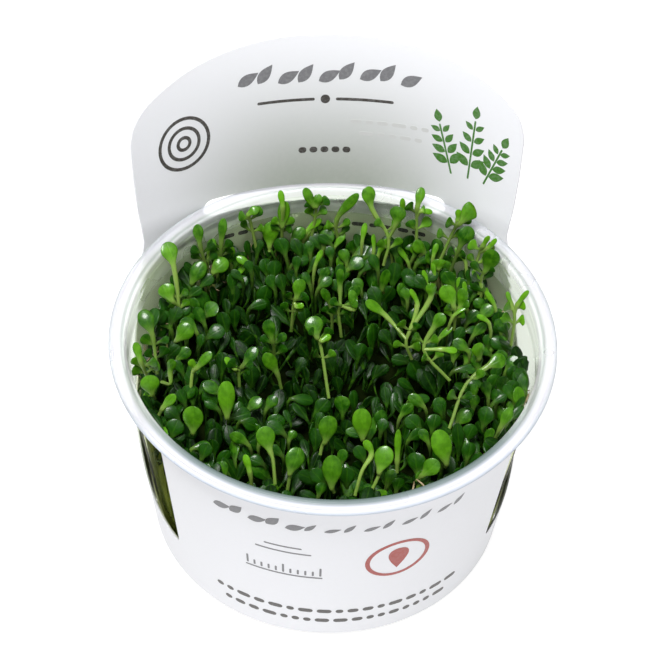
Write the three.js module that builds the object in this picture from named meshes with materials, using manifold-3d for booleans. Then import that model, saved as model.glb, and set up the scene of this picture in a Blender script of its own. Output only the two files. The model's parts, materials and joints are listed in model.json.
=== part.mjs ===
// A clear plastic cup of young mat-forming water plants, held in a die-cut card sleeve.
// Millimetres, +Z up. The cup's axis is the Z axis, its base stands on z = 0 and its front faces -Y.

import * as THREE from 'three';
import { mergeVertices } from 'three/addons/utils/BufferGeometryUtils.js';
import Module from 'manifold-3d';

const wasm = await Module();
wasm.setup();

// Cup
const CUP_HEIGHT = 57.5;
const CUP_FACETS = 48;
const RIM_RADIUS = 50;
const RIM_THICKNESS = 1.2;
const RIM_INNER_RADIUS = 46;
const CUP_LOW_RADIUS = 40.45; // outside of the wall at the height CONE_LOW
const CONE_LOW = 1.5;
const CONE_SLOPE = 0.1131; // growth of the radius for each millimetre of height
const WALL_THICKNESS = 0.95;
const LEDGE_HEIGHT = 53;
const BASE_RADIUS = 38.2;
const BASE_THICKNESS = 1.3;
const BASE_ROUNDING = 1.5; // outward run of the rounded edge between base and wall
const BASE_RISE = 2; // height of that rounded edge
const RIM_ROUNDING = 0.3;
const INNER_ROUNDING = 0.4;
const SLIGHT_DRAFT = 0.1;
const LEDGE_DROP = 0.5;

// Card sleeve
const CARD_THICKNESS = 0.45;
const CARD_GAP = 0.5; // air between the cup's wall and the card
const CARD_BOTTOM = 1.3;
const RING_MIDDLE = 8;
const RING_TOP = 14.7; // lowest edge of the side windows
const WINDOW_TOP = 54; // height where the windows' edges reach the header's sides
const WRAP_START = 60; // way round from the middle of the back where the card begins to lie on the cup
const WRAP_RUN = 28; // further way round until it lies on the cup altogether
const PANEL_TOP = 55.6;
const PANEL_HALF_ANGLE = 55; // degrees each way from the front
const RIM_FOLD = 57.5; // height where the header leans further back
const HEADER_TOP = 96.3;
const HEADER_HALF_WIDTH = 47.7;
const HEADER_ROWS = 4; // rows of the card's net below the fold, and again above it
const PANEL_ROWS = 3;
const PANEL_COLUMNS = 8; // from a window to the middle of the front
const HEADER_LEAN = 0.2423; // backward run for each millimetre of height above the fold
const HEADER_CURVE_LOW = 72.5; // bend radius of the card at the fold
const HEADER_CURVE_HIGH = 86.6; // bend radius 46 mm above the fold
const HEADER_CURVE_RISE = 46;
const SLOT_HALF_LENGTH = 29.6;
const SLOT_BOTTOM = 53.3;
const SLOT_TOP = 58.2;
const SLOT_END_STEPS = 4;
const SLOT_STEPS = 10;
const CUT_MARGIN = 2; // how far a cut starts outside what it cuts
const LEAST_WIDTH = 0.05;

// Gel and undergrowth
const GEL_TOP = 13.6;
const MAT_BOTTOM = 14;
const MAT_TOP = 44.5; // mean height of the undergrowth's top at the cup's axis
const MAT_TILT = 0.115; // the undergrowth is higher towards the front
const MAT_BUMP = 1.1; // height of the waves of its top
const WAVE_TURN = { x: 0.22, y: 0.19 }; // radians for each millimetre
const WAVE_SHIFT = { x: 0.4, y: -0.7 };
const RIPPLE_SHARE = 0.4;
const RIPPLE_TURN = { x: 0.28, y: -0.24 };
const BANK_RISE = 4; // the undergrowth climbs this much along the back of the wall
const BANK_START = 24; // distance from the axis where the climb begins
const BANK_RUN = 16;
const BANK_FRONT = 8; // the climb fades in over BANK_DEPTH behind this place
const BANK_DEPTH = 20;
const HOLLOW_DEPTH = 4.5; // the dark hollow left of the middle
const HOLLOW_PLACE = { x: -9, y: 8 };
const HOLLOW_SPREAD = 11;
const MAT_SECTORS = 30;
const MAT_RADII = [40, 35.5, 30, 24, 18, 12, 6];
const MAT_STRAIGHT = 28; // height up to which the undergrowth lies along the cup's wall
const SHOULDER_HEIGHT = 35;
const SHOULDER_DROP = 3; // of the outer edge below the top
const SHOULDER_INSET = 1.2;
const SHOULDER_TOP_DROP = 0.6;
const GEL_LIFT = 0.3; // between the cup's floor and the gel
const SIDE_GAP = 0.4; // between the cup's inside and what fills it
const FOOT_GAP = 0.4; // between the undergrowth and a shoot's foot

// Shoots
const STEM_RADIUS = 0.5;
const BLADE_THICKNESS = 0.7;
const BLADE_CUP = -0.08; // rise of a blade's edges as a share of its width: they hang lower than its middle
const LEAST_STALK = 1.2; // height of a crown or a blade's foot above the shoot's foot
const NECK_SHARE = 0.6; // thickness of the stalk just below the blade as a share of the stem's
const LIGHT = new THREE.Vector3(0, -0.66, 0.75); // the blades turn their faces this way

const look = (colour, roughness, metalness = 0) =>
  new THREE.MeshStandardMaterial({ color: colour, roughness, metalness });

const CLEAR_PLASTIC = look('#e9ebf4', 0.12);
const WHITE_CARD = look('#e6e7e6', 0.6);
const GEL = look('#d8d9c6', 0.15);
const UNDERGROWTH = look('#1f4a0b', 0.5);
const LEAF = look('#3f7d17', 0.3);

// Outer radius of the cup's wall at a height.
const wallRadius = (z) => CUP_LOW_RADIUS + CONE_SLOPE * (z - CONE_LOW);

// Radius that anything inside the cup keeps to at a height.
const fillRadius = (z) => wallRadius(z) - WALL_THICKNESS - SIDE_GAP;

// Radius of the card's outer face at a height, where it lies round the cup.
const cardRadius = (z) => wallRadius(z) + CARD_GAP + CARD_THICKNESS;

// A soft step from 0 to 1.
const smooth = (t) => {
  const share = Math.min(Math.max(t, 0), 1);
  return share * share * (3 - 2 * share);
};

// Height of the undergrowth's top at a place.
function matHeight(x, y) {
  const waves = Math.cos(WAVE_TURN.x * x + WAVE_SHIFT.x) * Math.cos(WAVE_TURN.y * y + WAVE_SHIFT.y);
  const ripples = RIPPLE_SHARE * Math.cos(RIPPLE_TURN.x * x + RIPPLE_TURN.y * y);
  const bank = smooth((Math.hypot(x, y) - BANK_START) / BANK_RUN) * smooth((y - BANK_FRONT) / BANK_DEPTH);
  const away = Math.hypot(x - HOLLOW_PLACE.x, y - HOLLOW_PLACE.y) / HOLLOW_SPREAD;
  const hollow = Math.exp((-away * away) / 2);
  return MAT_TOP - MAT_TILT * y + MAT_BUMP * (waves + ripples) + BANK_RISE * bank - HOLLOW_DEPTH * hollow;
}

// One closed body from a list of corner points and a list of triangles.
function closedGeometry(points, triangles) {
  const geometry = new THREE.BufferGeometry();
  geometry.setAttribute('position', new THREE.Float32BufferAttribute(points.flat(), 3));
  geometry.setIndex(triangles.flat());
  return geometry;
}

// A geometry as a solid that can be joined and cut.
function solid(geometry) {
  geometry.deleteAttribute('normal');
  geometry.deleteAttribute('uv');
  const merged = mergeVertices(geometry, 1e-4);
  const index = [];
  for (let i = 0; i < merged.index.count; i += 3) {
    const corner = [0, 1, 2].map((k) => merged.index.getX(i + k));
    if (new Set(corner).size === 3) {
      index.push(...corner);
    }
  }
  const vertProperties = new Float32Array(merged.attributes.position.array);
  return new wasm.Manifold(new wasm.Mesh({ numProp: 3, vertProperties, triVerts: new Uint32Array(index) }));
}

// A joined or cut solid as a geometry again.
function geometryOf(body) {
  const mesh = body.getMesh();
  const geometry = new THREE.BufferGeometry();
  geometry.setAttribute('position', new THREE.BufferAttribute(new Float32Array(mesh.vertProperties), 3));
  geometry.setIndex(new THREE.BufferAttribute(new Uint32Array(mesh.triVerts), 1));
  return geometry;
}

// The closed skin of stacked rings of points, each ring with the same number of points.
function skin(rings) {
  const count = rings[0].length;
  const points = rings.flat();
  const triangles = [];
  for (let r = 0; r + 1 < rings.length; r += 1) {
    for (let i = 0; i < count; i += 1) {
      const a = r * count + i;
      const b = r * count + ((i + 1) % count);
      triangles.push([a, b, b + count], [a, b + count, a + count]);
    }
  }
  const last = (rings.length - 1) * count;
  for (let i = 1; i + 1 < count; i += 1) {
    triangles.push([0, i + 1, i], [last, last + i, last + i + 1]);
  }
  return closedGeometry(points, triangles);
}

// A half profile turned round the Z axis.
function lathe(profile) {
  const geometry = new THREE.LatheGeometry(profile.map(([r, z]) => new THREE.Vector2(r, z)), CUP_FACETS);
  geometry.rotateX(Math.PI / 2);
  return geometry;
}

// The cup: a tapered wall on a rounded base, with a ledge inside and a flat rim.
function cup() {
  const underRim = CUP_HEIGHT - RIM_THICKNESS;
  const inside = (z) => wallRadius(z) - WALL_THICKNESS;
  return geometryOf(solid(lathe([
    [0, 0],
    [BASE_RADIUS, 0],
    [BASE_RADIUS + BASE_ROUNDING, BASE_RISE / 4],
    [wallRadius(BASE_RISE) - SLIGHT_DRAFT, BASE_RISE],
    [wallRadius(underRim), underRim],
    [RIM_RADIUS - RIM_ROUNDING, underRim],
    [RIM_RADIUS, underRim + RIM_ROUNDING],
    [RIM_RADIUS, CUP_HEIGHT - RIM_ROUNDING],
    [RIM_RADIUS - RIM_ROUNDING, CUP_HEIGHT],
    [RIM_INNER_RADIUS + RIM_ROUNDING, CUP_HEIGHT],
    [RIM_INNER_RADIUS, CUP_HEIGHT - INNER_ROUNDING],
    [RIM_INNER_RADIUS - SLIGHT_DRAFT, LEDGE_HEIGHT + RIM_ROUNDING],
    [inside(LEDGE_HEIGHT) - SLIGHT_DRAFT, LEDGE_HEIGHT - LEDGE_DROP],
    [inside(BASE_THICKNESS + BASE_RISE), BASE_THICKNESS + BASE_RISE],
    [BASE_RADIUS - INNER_ROUNDING, BASE_THICKNESS],
    [0, BASE_THICKNESS],
  ])));
}

// A place where the card lies round the cup: u is the distance round from the middle of the back,
// measured at the ring's top, and depth goes in from the card's outer face.
function ringPoint(u, z, depth) {
  const angle = u / cardRadius(RING_TOP);
  const radius = cardRadius(z) - depth;
  return [radius * Math.sin(angle), radius * Math.cos(angle), z];
}

// A place on the back of the card, which stands flatter and flatter up to the fold and leans back above it.
function headerPoint(u, z, depth) {
  const ease = smooth((z - RING_TOP) / (RIM_FOLD - RING_TOP));
  const above = Math.max(z - RIM_FOLD, 0);
  const flatter = HEADER_CURVE_LOW + ((HEADER_CURVE_HIGH - HEADER_CURVE_LOW) * above) / HEADER_CURVE_RISE;
  const low = cardRadius(Math.min(z, RIM_FOLD));
  const bend = 1 / ((1 - ease) / low + ease / flatter);
  const back = low + HEADER_LEAN * above;
  return [(bend - depth) * Math.sin(u / bend), back - bend + (bend - depth) * Math.cos(u / bend), z];
}

// A place on the card. The windows' lower edges pass from one form to the other.
function cardPoint(u, z, depth) {
  const round = z <= RING_TOP ? 1 : smooth((Math.abs(u) - WRAP_START) / WRAP_RUN);
  const ring = ringPoint(u, z, depth);
  const header = headerPoint(u, z, depth);
  return ring.map((value, i) => round * value + (1 - round) * header[i]);
}

// The header's half width at some heights: [z, half width]. It is narrowest where the windows end.
const HEADER_SIDES = [[WINDOW_TOP, 45.6], [57, 45.9], [62, 46.7], [70, 47.4], [77, HEADER_HALF_WIDTH]];

function headerHalfWidth(z) {
  const next = HEADER_SIDES.findIndex(([height]) => z <= height);
  if (next < 0) {
    return HEADER_HALF_WIDTH;
  }
  if (next === 0) {
    return HEADER_SIDES[0][1];
  }
  const [z0, u0] = HEADER_SIDES[next - 1];
  const [z1, u1] = HEADER_SIDES[next];
  return u0 + ((u1 - u0) * (z - z0)) / (z1 - z0);
}

// The card's outline as columns from the middle of the back to the middle of the front: [u, top].
const HEADER_COLUMNS = [
  [0, HEADER_TOP], [12, 95.9], [22.5, 94.5], [32, 92.1], [39.2, 89], [43.8, 86.3], [46.6, 83.1],
  [HEADER_HALF_WIDTH, 79.5],
];
const WINDOW_COLUMNS = [[47.7, 46], [51, 38.8], [55.5, 32.5], [61, 27], [69, 21], [79, 16.9], [88, 15.3]];

// The card as two faces on one net of places, closed along every cut edge.
function cardSheet() {
  const ringArc = Math.PI * cardRadius(RING_TOP);
  const panelEdge = ((180 - PANEL_HALF_ANGLE) / 180) * ringArc;
  const headerColumns = HEADER_COLUMNS.map(([u, top]) => ({ share: u / HEADER_HALF_WIDTH, top }));
  const windowColumns = WINDOW_COLUMNS.map(([u, top]) => ({ u, top }));
  const panelColumns = [];
  for (let i = 0; i <= PANEL_COLUMNS; i += 1) {
    panelColumns.push({ u: panelEdge + ((ringArc - panelEdge) * i) / PANEL_COLUMNS, top: PANEL_TOP });
  }
  const places = [];
  const triangles = [];
  const known = new Map();
  const place = (u, z) => {
    const key = `${u.toFixed(3)} ${z.toFixed(3)}`;
    if (!known.has(key)) {
      known.set(key, places.length);
      places.push([u, z]);
    }
    return known.get(key);
  };
  const quad = (a, b, c, d) => {
    for (const corners of [[a, b, c], [a, c, d]]) {
      if (new Set(corners).size === 3) {
        triangles.push(corners);
      }
    }
  };
  // A block of the net: the columns' places are joined row by row.
  const block = (columns) => {
    for (let c = 0; c + 1 < columns.length; c += 1) {
      for (let r = 0; r + 1 < columns[c].length; r += 1) {
        quad(columns[c][r], columns[c + 1][r], columns[c + 1][r + 1], columns[c][r + 1]);
      }
    }
  };
  const ringRows = [CARD_BOTTOM, RING_MIDDLE, RING_TOP];
  const narrow = headerHalfWidth(0);
  for (const side of [1, -1]) {
    const ring = (u) => ringRows.map((z) => place(side * u, z));
    const lowEnds = headerColumns.map((column) => column.share * narrow);
    const outerEnds = [...windowColumns, ...panelColumns].map((column) => column.u);
    const ringColumns = [...lowEnds, ...outerEnds];
    const netRing = ringColumns.map(ring);
    const headerNet = headerColumns.map(({ share, top }) => {
      const heights = [];
      for (let r = 0; r <= HEADER_ROWS; r += 1) {
        heights.push(RING_TOP + ((WINDOW_TOP - RING_TOP) * r) / HEADER_ROWS);
      }
      heights.push(RIM_FOLD);
      for (let r = 1; r <= HEADER_ROWS; r += 1) {
        heights.push(RIM_FOLD + ((top - RIM_FOLD) * r) / HEADER_ROWS);
      }
      return heights.map((z) => place(side * share * headerHalfWidth(z), z));
    });
    const climb = ({ u, top }, count) => {
      const column = [];
      for (let r = 0; r <= count; r += 1) {
        column.push(place(side * u, RING_TOP + ((top - RING_TOP) * r) / count));
      }
      return column;
    };
    const edge = climb({ u: narrow, top: WINDOW_TOP }, HEADER_ROWS);
    const corner = climb({ u: panelEdge, top: RING_TOP }, HEADER_ROWS);
    const windowNet = [edge, ...windowColumns.map((column) => climb(column, HEADER_ROWS)), corner];
    const panelNet = panelColumns.map((column) => climb(column, PANEL_ROWS));
    for (const net of [netRing, headerNet, windowNet, panelNet]) {
      block(side > 0 ? net : net.map((column) => [...column]).reverse());
    }
  }
  const points = places.map(([u, z]) => cardPoint(u, z, 0));
  const inner = places.map(([u, z]) => cardPoint(u, z, CARD_THICKNESS));
  const count = places.length;
  const edges = new Map();
  const merged = seamMap(points);
  const joined = triangles.map((corners) => corners.map((i) => merged[i]));
  const faces = joined.filter((corners) => new Set(corners).size === 3);
  for (const [a, b, c] of faces) {
    for (const [p, q] of [[a, b], [b, c], [c, a]]) {
      edges.set(`${p} ${q}`, [p, q]);
    }
  }
  const all = [];
  for (const [a, b, c] of faces) {
    all.push([a, c, b], [a + count, b + count, c + count]);
  }
  for (const [p, q] of edges.values()) {
    if (!edges.has(`${q} ${p}`)) {
      all.push([p, q, q + count], [p, q + count, p + count]);
    }
  }
  return closedGeometry([...points, ...inner], all);
}

// For each point, the first point at the same place: the sheet's two ends meet at the middle of the front.
function seamMap(points) {
  const first = new Map();
  return points.map(([x, y, z], i) => {
    const key = `${x.toFixed(3)} ${y.toFixed(3)} ${z.toFixed(3)}`.replace(/-0\.000/g, '0.000');
    if (!first.has(key)) {
      first.set(key, i);
    }
    return first.get(key);
  });
}

// The slot's cutter follows the card's bend, so it is a strip of short blocks between the two rounded ends.
function slotCutter() {
  const radius = (SLOT_TOP - SLOT_BOTTOM) / 2;
  const middle = (SLOT_TOP + SLOT_BOTTOM) / 2;
  const stations = [];
  for (let i = 0; i <= SLOT_END_STEPS; i += 1) {
    const angle = (Math.PI / 2) * (1 - i / SLOT_END_STEPS);
    stations.push([radius - radius * Math.sin(angle), Math.max(radius * Math.cos(angle), LEAST_WIDTH)]);
  }
  const across = [];
  for (const [inset, half] of stations) {
    across.push([-SLOT_HALF_LENGTH + inset, half]);
  }
  for (let i = 1; i < SLOT_STEPS; i += 1) {
    const start = -SLOT_HALF_LENGTH + radius;
    across.push([start + (2 * (SLOT_HALF_LENGTH - radius) * i) / SLOT_STEPS, radius]);
  }
  for (const [inset, half] of [...stations].reverse()) {
    across.push([SLOT_HALF_LENGTH - inset, half]);
  }
  const rings = across.map(([u, half]) => [
    cardPoint(u, middle - half, -CUT_MARGIN),
    cardPoint(u, middle + half, -CUT_MARGIN),
    cardPoint(u, middle + half, CARD_THICKNESS + CUT_MARGIN),
    cardPoint(u, middle - half, CARD_THICKNESS + CUT_MARGIN),
  ]);
  return skin(rings);
}

// The card sleeve: the sheet with the slot cut through its header.
function cardSleeve() {
  const sheet = solid(cardSheet());
  return geometryOf(sheet.subtract(solid(slotCutter())));
}

// The gel fills the bottom of the cup.
function nutrientGel() {
  const low = BASE_THICKNESS + GEL_LIFT;
  return geometryOf(solid(lathe([
    [0, low],
    [BASE_RADIUS - 1, low],
    [fillRadius(low + BASE_RISE), low + BASE_RISE],
    [fillRadius(GEL_TOP), GEL_TOP],
    [0, GEL_TOP],
  ])));
}

// The undergrowth: a round plug with a lumpy top that reaches the tips of the small leaves.
function plantMat() {
  const circle = (radius, height) => {
    const ring = [];
    for (let i = 0; i < MAT_SECTORS; i += 1) {
      const angle = (2 * Math.PI * i) / MAT_SECTORS;
      const x = radius * Math.cos(angle);
      const y = radius * Math.sin(angle);
      ring.push([x, y, height(x, y)]);
    }
    return ring;
  };
  const rings = [
    circle(fillRadius(MAT_BOTTOM), () => MAT_BOTTOM),
    circle(fillRadius(MAT_STRAIGHT), () => MAT_STRAIGHT),
    circle(fillRadius(SHOULDER_HEIGHT), (x, y) => matHeight(x, y) - SHOULDER_DROP),
    circle(fillRadius(SHOULDER_HEIGHT) - SHOULDER_INSET, (x, y) => matHeight(x, y) - SHOULDER_TOP_DROP),
    ...MAT_RADII.map((radius) => circle(radius, matHeight)),
  ];
  const points = [...rings.flat(), [0, 0, matHeight(0, 0)]];
  const triangles = [];
  for (let r = 0; r + 1 < rings.length; r += 1) {
    for (let i = 0; i < MAT_SECTORS; i += 1) {
      const a = r * MAT_SECTORS + i;
      const b = r * MAT_SECTORS + ((i + 1) % MAT_SECTORS);
      triangles.push([a, b, b + MAT_SECTORS], [a, b + MAT_SECTORS, a + MAT_SECTORS]);
    }
  }
  const last = (rings.length - 1) * MAT_SECTORS;
  for (let i = 0; i < MAT_SECTORS; i += 1) {
    triangles.push([last + i, last + ((i + 1) % MAT_SECTORS), points.length - 1]);
  }
  for (let i = 1; i + 1 < MAT_SECTORS; i += 1) {
    triangles.push([0, i + 1, i]);
  }
  return closedGeometry(points, triangles);
}

// Half width of a spoon-shaped blade as a share of its widest half width, from its foot to its tip.
const BLADE_SHAPE = [[0.2, 0.44], [0.42, 0.82], [0.66, 1], [0.88, 0.72], [1, 0.18]];

// One leaf on its stalk: the path's last stretch carries the blade.
function leaf(path, width) {
  const points = path.map(([x, y, z]) => new THREE.Vector3(x, y, z));
  const curve = new THREE.CatmullRomCurve3(points, false, 'centripetal');
  const stretches = points.length - 1;
  const stations = [];
  for (let i = 0; i < stretches - 1; i += 1) {
    stations.push([i / stretches, 0], [(i + 0.5) / stretches, 0]);
  }
  stations.push([(stretches - 1) / stretches, 0]);
  for (const [along, share] of BLADE_SHAPE) {
    stations.push([(stretches - 1 + along) / stretches, share]);
  }
  const rings = stations.map(([t, share]) => {
    const centre = curve.getPoint(t);
    const forward = curve.getTangent(t);
    const across = new THREE.Vector3().crossVectors(LIGHT, forward).normalize();
    const up = new THREE.Vector3().crossVectors(forward, across).normalize();
    const least = share > 0.2 || share === 0 ? STEM_RADIUS : STEM_RADIUS * NECK_SHARE;
    const half = Math.max((share * width) / 2, share > 0.5 ? 0 : least);
    const thick = share === 0 ? STEM_RADIUS : BLADE_THICKNESS / 2;
    const lift = share === 0 ? 0 : BLADE_CUP * width * share;
    const corner = (side, top) => {
      const p = centre.clone().addScaledVector(across, side).addScaledVector(up, top);
      return [p.x, p.y, p.z];
    };
    return [corner(half, lift), corner(0, thick), corner(-half, lift), corner(0, -thick)];
  });
  return solid(skin(rings));
}

// A shoot: a stem from the undergrowth with its leaves joined to it.
function shoot({ foot: [x, y], crown, leaves }) {
  const low = [x, y, matHeight(x, y) + FOOT_GAP + STEM_RADIUS];
  const raised = ([px, py, pz]) => [px, py, Math.max(pz, low[2] + LEAST_STALK)];
  const fork = crown && raised(crown);
  const bodies = leaves.map(({ base, tip, width }, i) => {
    const start = i > 0 && fork ? [fork] : [low, ...(fork ? [fork] : [])];
    return leaf([...start, raised(base), tip], width);
  });
  return geometryOf(bodies.reduce((whole, body) => whole.add(body)));
}

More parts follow.
